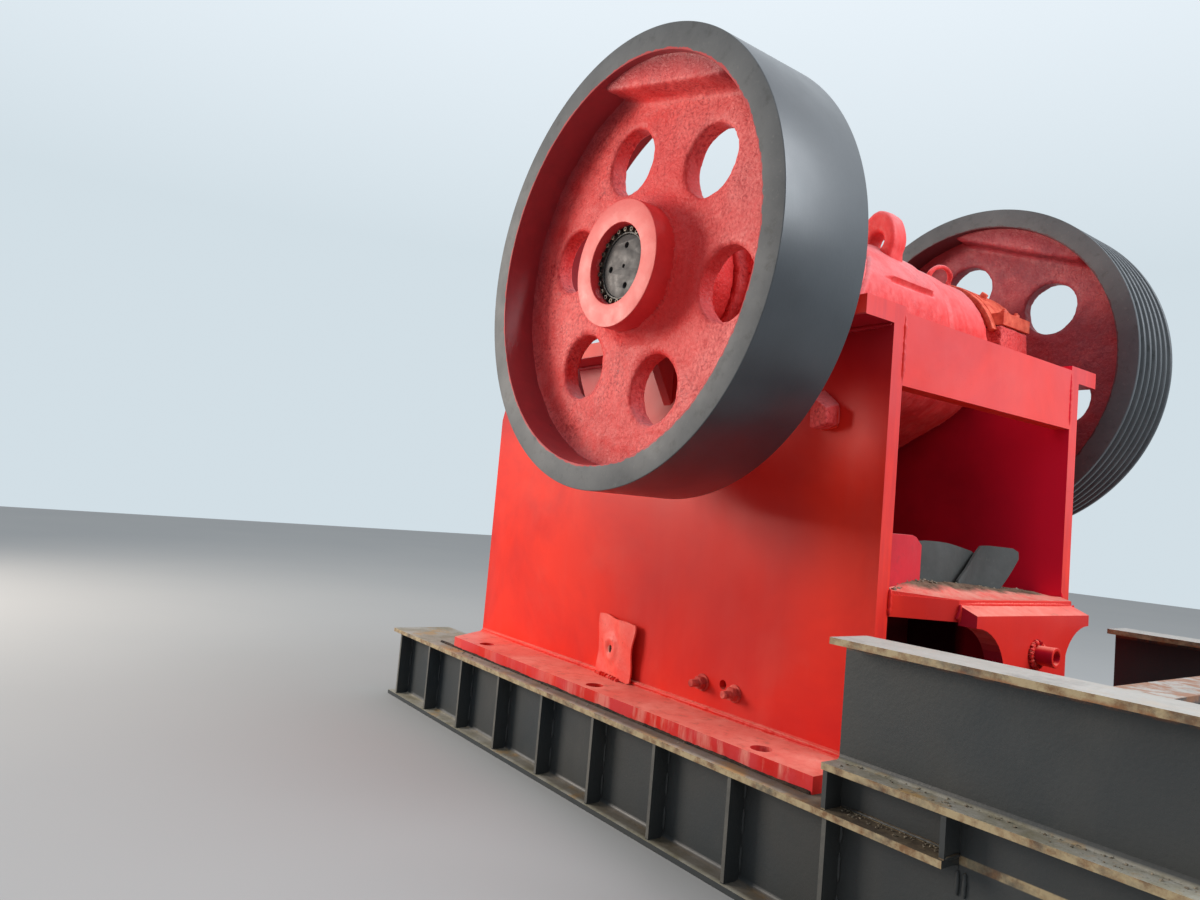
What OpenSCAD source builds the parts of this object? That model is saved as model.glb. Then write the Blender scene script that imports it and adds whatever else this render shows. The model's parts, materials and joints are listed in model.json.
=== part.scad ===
// Single-toggle jaw crusher on the stretch of stiffened beams that carries it.
// +X runs to the toggle side, +Z up; the plain flywheel is on -Y, the grooved one on +Y.
// Origin: on the ground plane of the beams, midway along and across the crusher frame.

/* [Frame] */
// Length of the side plates
frame_len = 1708; // [1500:10:2000]
// Clear width between the side plates
inner_w = 774; // [700:2:900]
// Thickness of the side plates
side_t = 42; // [30:1:60]
// Height from the foot's underside to the top flange's upper face
frame_h = 1037; // [950:1:1200]
// Thickness of the top flange
flange_t = 44; // [30:1:60]
// How far the top flange stands out beyond the side plate
flange_out = 100; // [60:1:130]
// Distance of the top flange's front end behind the side plates' front edge
flange_back = 150; // [100:5:250]
// Thickness of the foot flange
foot_t = 36; // [30:1:60]
// How far the foot stands out beyond the side plate
foot_out = 170; // [140:1:190]
// Length of the slanting cut on the foot's front corner
foot_cut = 112; // [40:2:150]
// Diameter of the foot's bolt holes
foot_hole_d = 50; // [30:1:60]
// Distance of the foot's bolt holes outside the side plate
foot_hole_out = 124; // [100:1:130]
// Distance of the rearmost bolt hole from the side plates' rear end
foot_hole_back = 182; // [120:2:260]
// Distance of the foremost bolt hole from the side plates' front end
foot_hole_front = 264; // [180:2:320]
// Bolt holes along each foot
foot_holes = 3; // [2:1:6]
// Height of the rear cross plate
cross_h = 164; // [100:2:220]
// Thickness of the rear cross plate
cross_t = 42; // [25:1:60]
// How far the cross plate's upper edge lies below the flange's upper face
cross_drop = 13; // [5:1:40]
// Thickness of the front wall behind the fixed jaw
front_t = 50; // [35:1:80]
// Depth of the front wall's outside ribs
front_rib = 180; // [100:5:220]
// Thickness of the front wall's ribs
rib_t = 36; // [20:1:50]
// Height and reach of the weld between foot and side plate
weld_leg = 14; // [8:1:20]
// Length of the cut on the side plates' upper front corner
corner_x = 60; // [20:5:120]
// Height of the cut on the side plates' upper front corner
corner_z = 160; // [80:5:250]

/* [Shaft and bearings] */
// Distance of the shaft behind the middle of the frame
shaft_x = 384; // [300:2:450]
// Height of the shaft above the top flange
shaft_rise = 72; // [50:1:120]
// Eccentric throw of the shaft
throw = 12; // [8:0.5:16]
// Direction of the throw at rest, from +X towards +Z
throw_dir = 255; // [240:1:300]
// Radius of the shaft in its bearings
journal_r = 92; // [70:1:110]
// Radius of the eccentric part inside the pitman
ecc_r = 112; // [95:1:130]
// Radius of the shaft where the wheels sit
wheel_seat_r = 75; // [60:1:85]
// Radial running clearance of the shaft in its bores
run_gap = 0.05; // [0.02:0.01:0.1]
// Outside radius of the round bearing housing
housing_r = 200; // [170:1:230]
// Thickness of the cap that holds the housing down
cap_t = 39; // [20:1:50]
// Length of the bearing housing outside the side plate's inner face
housing_len = 192; // [150:1:205]
// Distance of the cap and of the housing's foot outside the side plate's inner face
cap_in = 34; // [20:1:60]
// Height of the ears on which the cap is bolted above the shaft
ear_up = 80; // [50:1:100]
// Thickness of the cap's ears
ear_t = 38; // [25:1:50]
// Distance of the ears' ends from the shaft, fore and aft
ear_half = 248; // [242:1:280]

/* [Flywheels] */
// Outside radius of both wheels
wheel_r = 540; // [450:5:650]
// Thickness of the rims
rim_t = 60; // [45:1:80]
// Distance between the inner faces of the two rims
wheel_gap = 1260; // [1200:5:1400]
// Width of the plain rim
plain_w = 247; // [180:1:280]
// Width of one belt groove and its land
groove_pitch = 37; // [30:0.5:40]
// Number of belt grooves
grooves = 6; // [3:1:8]
// Depth of a belt groove
groove_deep = 25; // [15:1:30]
// Thickness of the webs
web_t = 50; // [40:1:80]
// Outside radius of the hubs
hub_r = 152; // [120:1:180]
// Radius of the fillet from hub to web
hub_fillet = 44; // [20:1:60]
// Bore radius of the hubs, where the locking rings sit
hub_bore_r = 97; // [85:1:110]
// Radius of the six web holes
hole_r = 83; // [50:1:95]
// Radius of the circle that the web holes lie on
hole_pitch_r = 304; // [260:1:340]
// Greatest height of the counterweights inside the rims
weight_h = 65; // [40:1:90]
// How far the grooved wheel is turned back from the plain one
grooved_turn = 5; // [0:0.5:10]

/* [Pitman and jaws] */
// Outside radius of the pitman's barrel
barrel_r = 243; // [200:1:260]
// Side clearance between barrel and side plate
barrel_gap = 22; // [12:1:40]
// Lean of the swing jaw from upright
jaw_lean = 23; // [14:0.5:26]
// Opening between the jaws at the top, from tooth to tooth
gape = 400; // [350:5:500]
// Thickness of the jaw plates with their teeth
jaw_t = 92; // [60:1:120]
// Height of the jaw teeth
tooth_h = 32; // [15:1:45]
// Spacing of the jaw teeth
tooth_pitch = 84; // [60:1:110]
// Height of the jaw plates
jaw_h = 800; // [600:5:900]
// Thickness of the cheek plates
cheek_t = 24; // [15:1:40]
// Thickness of the toggle plate
toggle_t = 34; // [20:1:50]
// Distance of the toggle plate's ends inside the pitman's sides
toggle_in = 40; // [20:2:80]
// Depth of the pitman's foot behind the swing jaw
foot_deep = 250; // [235:5:300]

// How far the saddle stands up from the barrel
saddle_h = 12; // [6:1:20]
// Half length of the saddle along the barrel
saddle_half = 150; // [100:5:200]
// Outside radius of the lifting eye
eye_r = 56; // [40:1:80]
// Radius of the lifting eye's hole
eye_hole_r = 27; // [15:1:40]
// Thickness of the lifting eye
eye_t = 56; // [25:1:70]
// Height of the lifting eye's hole above the barrel
eye_up = 46; // [35:1:80]
// Angle of the lifting eye behind the barrel's top
eye_back = 23; // [0:1:30]
// Radius of the bent bar of the two small loops
loop_bar_r = 6; // [4:0.5:10]
// Radius of the two small loops to the middle of their bar
loop_r = 34; // [25:1:45]
// Length of the two small loops' straight legs
loop_leg = 12; // [0:1:30]
// Distance of the two small loops from the middle of the barrel
loop_y = 305; // [250:5:330]

/* [Small pieces on the frame] */
// Height of the patch sheet above the foot's weld
patch_h = 166; // [120:2:220]
// Width of the guide block on the shelf
block_w = 137; // [80:1:180]
// Height of the guide block on the shelf
block_h = 133; // [80:1:180]
// Thickness of the loose sheets on the shelf
sheet_t = 9; // [4:0.5:14]
// Lean of the first loose sheet from upright
sheet_lean = 19; // [5:1:35]

/* [Rear shelf] */
// Thickness of the shelf plate
shelf_t = 47; // [30:1:60]
// Height of the shelf's upper face above the foot's underside
shelf_up = 400; // [300:2:500]
// How far the shelf's middle stands out behind the side plates
shelf_out = 87; // [40:1:120]
// Thickness of the rod bracket
bracket_t = 43; // [25:1:60]
// Height of the bevel along the bracket's upper edge
bracket_bevel = 18; // [5:1:25]
// Width of the rod bracket
bracket_w = 513; // [400:1:600]
// Width of the bracket's stem
stem_w = 272; // [200:1:320]
// Radius of the tension rod
rod_r = 11; // [8:0.5:20]

/* [Stand] */
// Height of the stand's beams
beam_h = 250; // [200:5:300]
// Width of one beam's flanges
beam_w = 116; // [100:2:140]
// Thickness of the beam flanges
beam_ft = 13; // [8:1:20]
// Thickness of the beam webs
beam_wt = 9; // [6:1:16]
// How far the beams' outer edge lies outside the foot
beam_ledge = 52; // [30:1:80]
// Spacing of the web stiffeners
stiff_pitch = 252; // [200:2:300]
// Thickness of the web stiffeners
stiff_t = 10; // [6:1:16]
// Height of the web plates between the two layers of beams
riser_h = 74; // [50:1:120]
// Number of stiffener bays of the lower beams
bays = 10; // [8:1:12]
// Distance of the upper beams behind the side plates
upper_gap = 58; // [40:1:80]
// Width of the cross members
member_w = 90; // [60:5:140]
// Distance of the upper cross member's middle from the beams' rear ends
member_back = 190; // [100:10:400]
// Distance of the lower beams' ends from their outermost stiffeners
beam_end = 140; // [60:1:200]

/* [Hidden] */

red = [0.78, 0.13, 0.10];
dark = [0.22, 0.24, 0.27];
steel = [0.52, 0.53, 0.54];

x0 = -frame_len / 2;
x1 = frame_len / 2;
in_y = inner_w / 2;
out_y = in_y + side_t;
foot_z = beam_h;
top_z = foot_z + frame_h;
shaft_z = top_z + shaft_rise;
saddle_r = housing_r + 0.3;
ecc_x = shaft_x + throw * cos(throw_dir);
ecc_z = shaft_z + throw * sin(throw_dir);
seat_gap = 0.3;

// Wheels
rim_in_r = wheel_r - rim_t;
chord_d = rim_in_r - weight_h;
rim0 = wheel_gap / 2;
grooved_w = grooves * groove_pitch + 14;
weight_dir = throw_dir - 180;
hub_in = 18;
ring_len = 56;

// Jaws: the swing jaw's back plane is a line in the XZ plane
fixed_back = x0 + front_rib + front_t;
fixed_tip = fixed_back + jaw_t;
jaw_top_z = top_z - 20;
tip_top_x = fixed_tip + gape;
jaw_half = in_y - cheek_t - 17;
fixed_half = in_y - 4;
jaw_dz = jaw_h * cos(jaw_lean);
jaw_dx = jaw_h * sin(jaw_lean);
back_top_x = tip_top_x + jaw_t * cos(jaw_lean);
back_top_z = jaw_top_z - jaw_t * sin(jaw_lean);
back_low_x = back_top_x - jaw_dx;
back_low_z = back_top_z - jaw_dz;
body_half = in_y - cheek_t - 12;
barrel_half = in_y - barrel_gap;

eye_x = ecc_x + (barrel_r + eye_up) * sin(eye_back);
eye_z = ecc_z + (barrel_r + eye_up) * cos(eye_back);
eye_wide = 1.5 * eye_r;

// Rear shelf
shelf_top = foot_z + shelf_up;
shelf_low = shelf_top - shelf_t;
shelf_in = x1 - 560;
bracket_top = shelf_low + 19;
bracket_x = x1 + shelf_out;
rod_z = bracket_top - 88;
bracket_low = bracket_top - 190;

// Studs on the near side plate
stud_x = [x1 - 510, x1 - 393];
stud_z = foot_z + 103;

// Toggle: seats on the pitman's foot and on the toggle beam
toggle_x0 = back_low_x + 215;
toggle_z0 = back_low_z + 105;
toggle_x1 = shelf_in - seat_gap;
toggle_z1 = shelf_low - 62;
toggle_free = 2 * throw + 6;

module xz(y0, y1) {
  translate([0, y1, 0]) rotate([90, 0, 0]) linear_extrude(y1 - y0) children();
}

module along_y(x, z, r, y0, y1, fn = 96) {
  translate([x, y0, z]) rotate([-90, 0, 0]) cylinder(r = r, h = y1 - y0, $fn = fn);
}

module box(x, y, z) {
  translate([x[0], y[0], z[0]]) cube([x[1] - x[0], y[1] - y[0], z[1] - z[0]]);
}

function foot_hole_x(i) =
  x0 + foot_hole_front + i * (frame_len - foot_hole_front - foot_hole_back) / (foot_holes - 1);

// Side plate on +Y; the near one is its mirror image
module side_shape() {
  difference() {
    polygon([[x0, foot_z], [x1, foot_z], [x1, top_z - flange_t + 1], [x0 + corner_x, top_z - flange_t + 1],
             [x0, top_z - flange_t - corner_z]]);
    translate([shaft_x, shaft_z]) circle(r = saddle_r, $fn = 96);
  }
}

module flange_shape(y0, y1) {
  difference() {
    box([x0 + flange_back, x1], [y0, y1], [top_z - flange_t, top_z]);
    along_y(shaft_x, shaft_z, saddle_r, y0 - 1, y1 + 1);
  }
}

module foot_shape() {
  difference() {
    polygon([[x0, out_y - 1], [x0, out_y + 6], [x0 + foot_cut, out_y + foot_out], [x1, out_y + foot_out],
             [x1, out_y - 1]]);
    for (i = [0 : foot_holes - 1])
      translate([foot_hole_x(i), out_y + foot_hole_out]) circle(d = foot_hole_d, $fn = 48);
  }
}

module side_plate() {
  difference() {
    union() {
      xz(in_y, out_y) side_shape();
      flange_shape(in_y, out_y + flange_out);
      translate([0, 0, foot_z]) linear_extrude(foot_t) foot_shape();
      // weld between foot and plate
      translate([x0 + 8, 0, 0]) rotate([90, 0, 90]) linear_extrude(frame_len - 16)
        polygon([[out_y - 1, foot_z + foot_t - 1], [out_y + weld_leg, foot_z + foot_t - 1],
                 [out_y - 1, foot_z + foot_t + weld_leg]]);
      top_gusset(shaft_x - 290);
    }
    // open bolt hole between the two studs
    along_y(stud_x[0] + 73, stud_z + 10, 12, in_y - 1, out_y + 1, 48);
  }
}

module top_gusset(x) {
  translate([x, 0, 0]) rotate([90, 0, 90]) linear_extrude(32)
    polygon([[out_y - 1, top_z - flange_t + 1], [out_y + flange_out * 0.85, top_z - flange_t + 1],
             [out_y - 1, top_z - flange_t - 150]]);
}

module far_side_plate() {
  color(red) side_plate();
}

module near_side_plate() {
  color(red) mirror([0, 1, 0]) side_plate();
}

module front_wall() {
  color(red) {
    w = in_y;
    h = top_z - flange_t - foot_z;
    box([fixed_back - front_t, fixed_back], [-w, w], [foot_z + 60, top_z + 20]);
    for (k = [0 : 3])
      box([x0 + 14, fixed_back - front_t + 1], [-w, w],
          [foot_z + 60 + k * (h - 230) / 3, foot_z + 60 + rib_t + k * (h - 230) / 3]);
    for (y = [-w * 0.5, 0, w * 0.5])
      box([x0 + 30, fixed_back - front_t + 1], [y - rib_t / 2, y + rib_t / 2],
          [foot_z + 60, foot_z + 60 + h - 230]);
    // ledge that the fixed jaw stands on
    box([fixed_back - 1, fixed_back + 54], [-w, w], [foot_z + 60, jaw_top_z - jaw_h]);
  }
}

module rear_cross_plate() {
  color(red) box([x1 - cross_t, x1], [-in_y, in_y], [top_z - cross_drop - cross_h, top_z - cross_drop]);
}

module rear_shelf() {
  color(red) {
    translate([0, 0, shelf_low]) linear_extrude(shelf_t)
      polygon([[shelf_in, -in_y], [x1, -in_y], [bracket_x, -bracket_w / 2], [bracket_x, bracket_w / 2],
               [x1, in_y], [shelf_in, in_y]]);
  }
}

module bracket_shape() {
  a = bracket_w / 2;
  b = stem_w / 2;
  r = a - b;
  lip = 26;
  polygon(concat(
    [[-a, bracket_top], [-a, bracket_top - lip]],
    [for (t = [80 : -10 : 0]) [-b - r + r * cos(t), bracket_top - lip - r * (1 - sin(t)) * 0.9]],
    [[-b, bracket_low], [b, bracket_low]],
    [for (t = [0 : 10 : 80]) [b + r - r * cos(t), bracket_top - lip - r * (1 - sin(t)) * 0.9]],
    [[a, bracket_top - lip], [a, bracket_top]]));
}

module rod_bracket() {
  color(red) difference() {
    union() {
      translate([bracket_x, 0, 0]) rotate([90, 0, 90]) linear_extrude(bracket_t) bracket_shape();
      xz(-bracket_w / 2, bracket_w / 2)
        polygon([[bracket_x, bracket_top - 1], [bracket_x, bracket_top + bracket_bevel],
                 [bracket_x + bracket_t, bracket_top], [bracket_x + bracket_t, bracket_top - 1]]);
      // web under the shelf, seen through the openings
      box([x1 - 190, bracket_x + 1], [-20, 20], [bracket_low, shelf_low]);
    }
    translate([x1 - 200, 0, rod_z]) rotate([0, 90, 0])
      cylinder(r = rod_r + 1, h = 400, $fn = 48);
  }
}

module toggle_beam() {
  color(red) difference() {
    toggle_box();
    translate([shelf_in - 1, 0, rod_z]) rotate([0, 90, 0])
      cylinder(r = rod_r + 3, h = x1 - shelf_in, $fn = 48);
  }
}

module toggle_box() {
  union() {
    box([shelf_in, shelf_in + 50], [-in_y, in_y], [shelf_low - 150, shelf_low]);
    box([x1 - 192 - 50, x1 - 192], [-in_y, in_y], [shelf_low - 150, shelf_low]);
    box([shelf_in + 49, x1 - 241], [-in_y, in_y], [shelf_low - 150, shelf_low - 120]);
  }
}

// Toothed plate profile: teeth point to +Y of the sketch, width runs along X
module tooth_profile(half, t, phase) {
  n = floor(half / tooth_pitch);
  difference() {
    translate([-half, 0]) square([2 * half, t]);
    for (i = [-n - 1 : n + 1]) {
      c = (i + phase) * tooth_pitch;
      if (abs(c) < half + tooth_pitch)
        polygon([[c - tooth_pitch * 0.34, t + 1], [c - tooth_pitch * 0.12, t - tooth_h],
                 [c + tooth_pitch * 0.12, t - tooth_h], [c + tooth_pitch * 0.34, t + 1]]);
    }
  }
}

module fixed_jaw() {
  color(steel) intersection() {
    translate([fixed_back, 0, jaw_top_z - jaw_h]) rotate([0, 0, -90])
      linear_extrude(jaw_h) tooth_profile(fixed_half, jaw_t, 0);
    box([fixed_back, fixed_tip], [-in_y + 3, in_y - 3], [foot_z, top_z + 50]);
  }
}

module jaw_key() {
  color(steel)
    box([fixed_back, fixed_back + 40], [-fixed_half + 40, fixed_half - 40], [jaw_top_z, jaw_top_z + 38]);
}

module cheek_plates() {
  color(steel) for (s = [-1, 1])
    xz(s > 0 ? in_y - cheek_t : -in_y, s > 0 ? in_y : -in_y + cheek_t)
      polygon([[fixed_tip + 2, jaw_top_z], [tip_top_x + 60, jaw_top_z],
               [back_low_x - 20, jaw_top_z - jaw_h + 60], [fixed_tip + 2, jaw_top_z - jaw_h + 60]]);
}

// Housing: a round body through the side plate's saddle, a cast foot on the top flange and a bored end cover
module bearing_housing() {
  difference() {
    union() {
      along_y(shaft_x, shaft_z, housing_r, in_y - 2, in_y + housing_len);
      along_y(shaft_x, shaft_z, housing_r - 42, in_y + housing_len - 1, in_y + housing_len + 26);
      xz(in_y + cap_in, in_y + housing_len - 4)
        polygon([[shaft_x - ear_half, top_z + seat_gap], [shaft_x + ear_half, top_z + seat_gap],
                 [shaft_x + ear_half - 6, shaft_z + ear_up], [shaft_x + ear_half - 60, shaft_z + ear_up],
                 [shaft_x, shaft_z + 20], [shaft_x - ear_half + 60, shaft_z + ear_up],
                 [shaft_x - ear_half + 6, shaft_z + ear_up]]);
    }
    along_y(shaft_x, shaft_z, journal_r + run_gap, in_y - 20, in_y + housing_len + 40);
  }
}

module bearing_housings() {
  color(red) {
    bearing_housing();
    mirror([0, 1, 0]) bearing_housing();
  }
}

// Strap over the housing, with an ear on each side
module cap_half() {
  r0 = housing_r + seat_gap;
  r1 = r0 + cap_t;
  e0 = shaft_z + ear_up + seat_gap;
  xz(in_y + cap_in, in_y + housing_len - 4) difference() {
    union() {
      intersection() {
        translate([shaft_x, shaft_z]) circle(r = r1, $fn = 96);
        translate([shaft_x - r1, e0]) square([2 * r1, r1]);
      }
      translate([shaft_x - ear_half, e0]) square([2 * ear_half, ear_t]);
    }
    translate([shaft_x, shaft_z]) circle(r = r0, $fn = 96);
  }
}

module bearing_caps() {
  color(red) {
    cap_half();
    mirror([0, 1, 0]) cap_half();
  }
}

// Toggle plate between its two seats, with rounded ends
module toggle_line(r, y0, y1) {
  a = atan2(toggle_z1 - toggle_z0, toggle_x1 - toggle_x0);
  len = norm([toggle_x1 - toggle_x0, toggle_z1 - toggle_z0]);
  xz(y0, y1) translate([toggle_x1, toggle_z1]) rotate(a) {
    translate([-len + toggle_free, -r]) square([len - toggle_free - r, 2 * r]);
    translate([-r, 0]) circle(r = r, $fn = 48);
    translate([-len + toggle_free, 0]) circle(r = r, $fn = 48);
  }
}

module toggle_plate() {
  color(steel) toggle_line(toggle_t / 2, -body_half + toggle_in, body_half - toggle_in);
}

module tension_rod() {
  color(steel) {
    translate([bracket_x + bracket_t, 0, rod_z]) rotate([0, 90, 0]) difference() {
      union() {
        cylinder(r = 24, h = 12, $fn = 48);
        cylinder(r = 15, h = 58, $fn = 48);
      }
      translate([0, 0, 40]) cylinder(r = rod_r - 1, h = 30, $fn = 48);
    }
    translate([shelf_in + 20, 0, rod_z]) rotate([0, 90, 0])
      cylinder(r = rod_r, h = bracket_x + bracket_t - shelf_in - 19, $fn = 48);
  }
}

module guide_block() {
  color(red) along_x(x1 - 94, x1 - 24)
    polygon([[-in_y, shelf_top], [-in_y + block_w, shelf_top], [-in_y + block_w, shelf_top + block_h - 20],
             [-in_y + block_w - 28, shelf_top + block_h], [-in_y, shelf_top + block_h]]);
}

// Bent sheet: path is its plan, outline its shape seen from the rear; it leans forwards from its lower edge
module sheet(x, lean, path, outline) {
  n = len(path);
  difference() {
    translate([x, 0, shelf_top]) rotate([0, -lean, 0]) intersection() {
      translate([0, 0, -20]) linear_extrude(200)
        polygon(concat(path, [for (i = [n - 1 : -1 : 0]) [path[i][0] + sheet_t, path[i][1]]]));
      translate([-60, 0, 0]) rotate([90, 0, 90]) linear_extrude(120) polygon(outline);
    }
    box([x - 200, x + 200], [-in_y, in_y], [shelf_top - 60, shelf_top]);
  }
}

module loose_plates() {
  color(dark) {
    sheet(x1 - 62, sheet_lean, [[-16, -205], [-3, -150], [2, -60], [-6, 0], [-20, 70]],
          [[-200, -18], [-196, 60], [-185, 112], [-168, 121], [-80, 118], [64, 76], [-10, 2], [-38, -18]]);
    sheet(x1 - 34, 9, [[9, -20], [0, 50], [-2, 150], [5, 220], [16, 290]],
          [[-18, -14], [-6, 8], [86, 104], [112, 112], [270, 110], [281, 98], [206, 0], [192, -14]]);
  }
}

// Bent sheet that lies on the plate at its front edge and stands off at its rear edge
module patch_plate() {
  p0 = x0 + 748;
  color(red) translate([0, 0, foot_z + foot_t + weld_leg + seat_gap]) linear_extrude(patch_h)
    polygon([[p0, -out_y], [p0, -out_y - 7], [p0 + 60, -out_y - 20], [p0 + 181, -out_y - 26],
             [p0 + 181, -out_y - 19], [p0 + 60, -out_y - 12], [p0 + 20, -out_y]]);
}

module side_studs() {
  color(steel) for (i = [0, 1]) {
    z = stud_z - 3 * i;
    along_y(stud_x[i], z, 22, -out_y - 4, -out_y, 48);
    translate([stud_x[i], -out_y - 3, z]) rotate([90, 0, 0]) cylinder(r = 17, h = 17, $fn = 6);
    along_y(stud_x[i], z, 10, -out_y - 44, -out_y - 3, 48);
  }
}

module side_lug() {
  color(red) box([x1 - 180, x1 - 106], [-out_y - 50, -out_y], [top_z - 266, top_z - 176]);
}

// Swing body
module pitman_shape() {
  // front pad line, head round the barrel, rear face down to the toggle seat
  polygon([[back_low_x, back_low_z],
           [back_top_x + 60 * sin(jaw_lean), back_top_z + 60 * cos(jaw_lean)],
           [ecc_x + barrel_r * cos(118), ecc_z + barrel_r * sin(118)],
           [ecc_x, ecc_z],
           [ecc_x + barrel_r * cos(-48), ecc_z + barrel_r * sin(-48)],
           [ecc_x - 40, ecc_z - barrel_r - 60],
           [back_low_x + foot_deep, back_low_z + 190],
           [back_low_x + foot_deep - 20, back_low_z + 30],
           [back_low_x + 60, back_low_z - 10]]);
}

module pitman_pocket() {
  polygon([[back_top_x + 62, back_top_z - 30], [ecc_x - barrel_r - 30, ecc_z - 110],
           [ecc_x - 120, ecc_z - barrel_r - 40], [ecc_x - 20, ecc_z - barrel_r - 70], [back_low_x + 270, back_low_z + 230],
           [back_low_x + 130, back_low_z + 190]]);
}

// Raised pad round the barrel, from before the eye to the rear
module saddle_shape() {
  polygon(concat([[ecc_x, ecc_z]], arc(ecc_x, ecc_z, barrel_r + saddle_h, 100, -12, 16)));
}

module pitman() {
  color(red) difference() {
    union() {
      along_y(ecc_x, ecc_z, barrel_r, -barrel_half, barrel_half);
      xz(-body_half, body_half) pitman_shape();
      xz(-saddle_half, saddle_half) saddle_shape();
    }
    // step in the saddle beside the eye
    xz(eye_t / 2 + 6, saddle_half - 12) translate([ecc_x, ecc_z]) rotate(46)
      translate([barrel_r + saddle_h - 5, 0]) square([20, 9]);
    // pockets between the rear ribs
    for (k = [-1, 0, 1])
      xz(k * body_half * 0.62 - body_half * 0.25, k * body_half * 0.62 + body_half * 0.25) pitman_pocket();
    along_y(ecc_x, ecc_z, ecc_r + run_gap, -barrel_half - 5, barrel_half + 5);
    // toggle seat groove
    xz(-body_half - 1, body_half + 1)
      translate([toggle_x0, toggle_z0])
        rotate(atan2(toggle_z1 - toggle_z0, toggle_x1 - toggle_x0))
          translate([-6, -toggle_t / 2 - 2 * throw - 6]) square([140, toggle_t + 2 * throw + 13]);
  }
}

module swing_jaw() {
  color(steel)
    translate([back_low_x, 0, back_low_z]) rotate([0, jaw_lean, 0]) rotate([0, 0, 90])
      linear_extrude(jaw_h) tooth_profile(jaw_half, jaw_t, 0.5);
}

module jaw_clamp() {
  color(steel)
    translate([back_top_x, 0, back_top_z]) rotate([0, jaw_lean, 0])
      box([-60, 0], [-jaw_half + 40, jaw_half - 40], [seat_gap, 44]);
}

module lifting_eye() {
  foot = barrel_r * 0.8 - barrel_r - eye_up;
  color(red) difference() {
    xz(-eye_t / 2, eye_t / 2) translate([eye_x, eye_z]) rotate(-eye_back) difference() {
      union() {
        circle(r = eye_r, $fn = 64);
        polygon([[-eye_r * 0.9, eye_r * 0.2], [-eye_wide, foot], [eye_wide, foot],
                 [eye_r * 0.9, eye_r * 0.2]]);
      }
      circle(r = eye_hole_r, $fn = 48);
    }
    along_y(ecc_x, ecc_z, barrel_r + saddle_h + 0.1, -eye_t, eye_t);
  }
}

// Two small loops of bent bar that are welded on the barrel
module barrel_loops() {
  a = 66;
  color(red) for (s = [-1, 1]) difference() {
    translate([ecc_x, s * loop_y, ecc_z]) rotate([0, -a, 0]) {
      translate([barrel_r + loop_leg - 2, 0, 0]) rotate([0, 0, -90]) rotate_extrude(angle = 180, $fn = 48)
        translate([loop_r, 0]) circle(r = loop_bar_r, $fn = 16);
      for (e = [-1, 1])
        translate([barrel_r - 6, e * loop_r, 0]) rotate([0, 90, 0])
          cylinder(r = loop_bar_r + 0.5, h = loop_leg + 4.5, $fn = 16);
    }
    along_y(ecc_x, ecc_z, barrel_r, -in_y, in_y);
  }
}

module pitman_rings() {
  color(red) for (s = [-1, 1])
    difference() {
      along_y(ecc_x, ecc_z, barrel_r - 53, s > 0 ? barrel_half : -barrel_half - 12,
              s > 0 ? barrel_half + 12 : -barrel_half);
      along_y(ecc_x, ecc_z, ecc_r + run_gap, -in_y, in_y);
    }
}

// Rotor
module eccentric_shaft() {
  color(steel) {
    end_y = rim0 + plain_w - 12;
    end_f = rim0 + grooved_w - 12;
    along_y(ecc_x, ecc_z, ecc_r, -barrel_half - 12, barrel_half + 12);
    along_y(shaft_x, shaft_z, journal_r, -in_y - housing_len - 34, in_y + housing_len + 34);
    along_y(shaft_x, shaft_z, wheel_seat_r, -end_y, end_f);
  }
}

function arc(cx, cz, r, a0, a1, n) =
  [for (i = [0 : n]) let (a = a0 + (a1 - a0) * i / n) [cx + r * cos(a), cz + r * sin(a)]];

// Wheel section: radius along X of the sketch, distance along the shaft from the rim's inner face along Y
module wheel_section(w, inside) {
  c = w / 2;
  a = c - web_t / 2;
  b = c + web_t / 2;
  f = hub_fillet;
  g = 20;
  polygon(concat(
    [[hub_bore_r, -hub_in], [hub_r, -hub_in]],
    arc(hub_r + f, a - f, f, 180, 90, 6),
    arc(rim_in_r - g, a - g, g, 90, 0, 4),
    [[rim_in_r + 4, 0]],
    inside,
    [[rim_in_r + 4, w]],
    arc(rim_in_r - g, b + g, g, 0, -90, 4),
    arc(hub_r + f, b + f, f, 270, 180, 6),
    [[hub_r, w - 18], [hub_bore_r, w - 18]]));
}

function groove_points(w) = concat(
  [[wheel_r, 0]],
  [for (i = [0 : grooves - 1]) let (c = 7 + (i + 0.5) * groove_pitch)
    each [[wheel_r, c - groove_pitch * 0.36], [wheel_r - groove_deep, c - groove_pitch * 0.2],
          [wheel_r - groove_deep, c + groove_pitch * 0.2], [wheel_r, c + groove_pitch * 0.36]]],
  [[wheel_r, w]]);

module web_holes(w) {
  for (k = [0 : 5])
    rotate(weight_dir + 30 + 60 * k) translate([hole_pitch_r, 0, -5])
      cylinder(r = hole_r, h = w + 10, $fn = 64);
}

module weight(w) {
  rotate(weight_dir) translate([0, 0, 22]) linear_extrude(w - 44)
    intersection() {
      circle(r = rim_in_r + 2, $fn = 96);
      translate([chord_d, -rim_in_r]) square([rim_in_r, 2 * rim_in_r]);
    }
}

// The wheel is drawn about +Z and then laid along the shaft; its sketch X is world X, its sketch Y is world Z
module wheel(w, rim) {
  difference() {
    union() {
      rotate_extrude($fn = 128) wheel_section(w, rim);
      weight(w);
    }
    web_holes(w);
  }
}

module plain_flywheel() {
  color(dark) translate([shaft_x, -rim0, shaft_z]) rotate([90, 0, 0])
    wheel(plain_w, [[wheel_r, 0], [wheel_r, plain_w]]);
}

module grooved_flywheel() {
  color(dark) translate([shaft_x, rim0, shaft_z]) mirror([0, 1, 0]) rotate([90, 0, 0]) rotate(-grooved_turn)
    wheel(grooved_w, groove_points(grooved_w));
}

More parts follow.
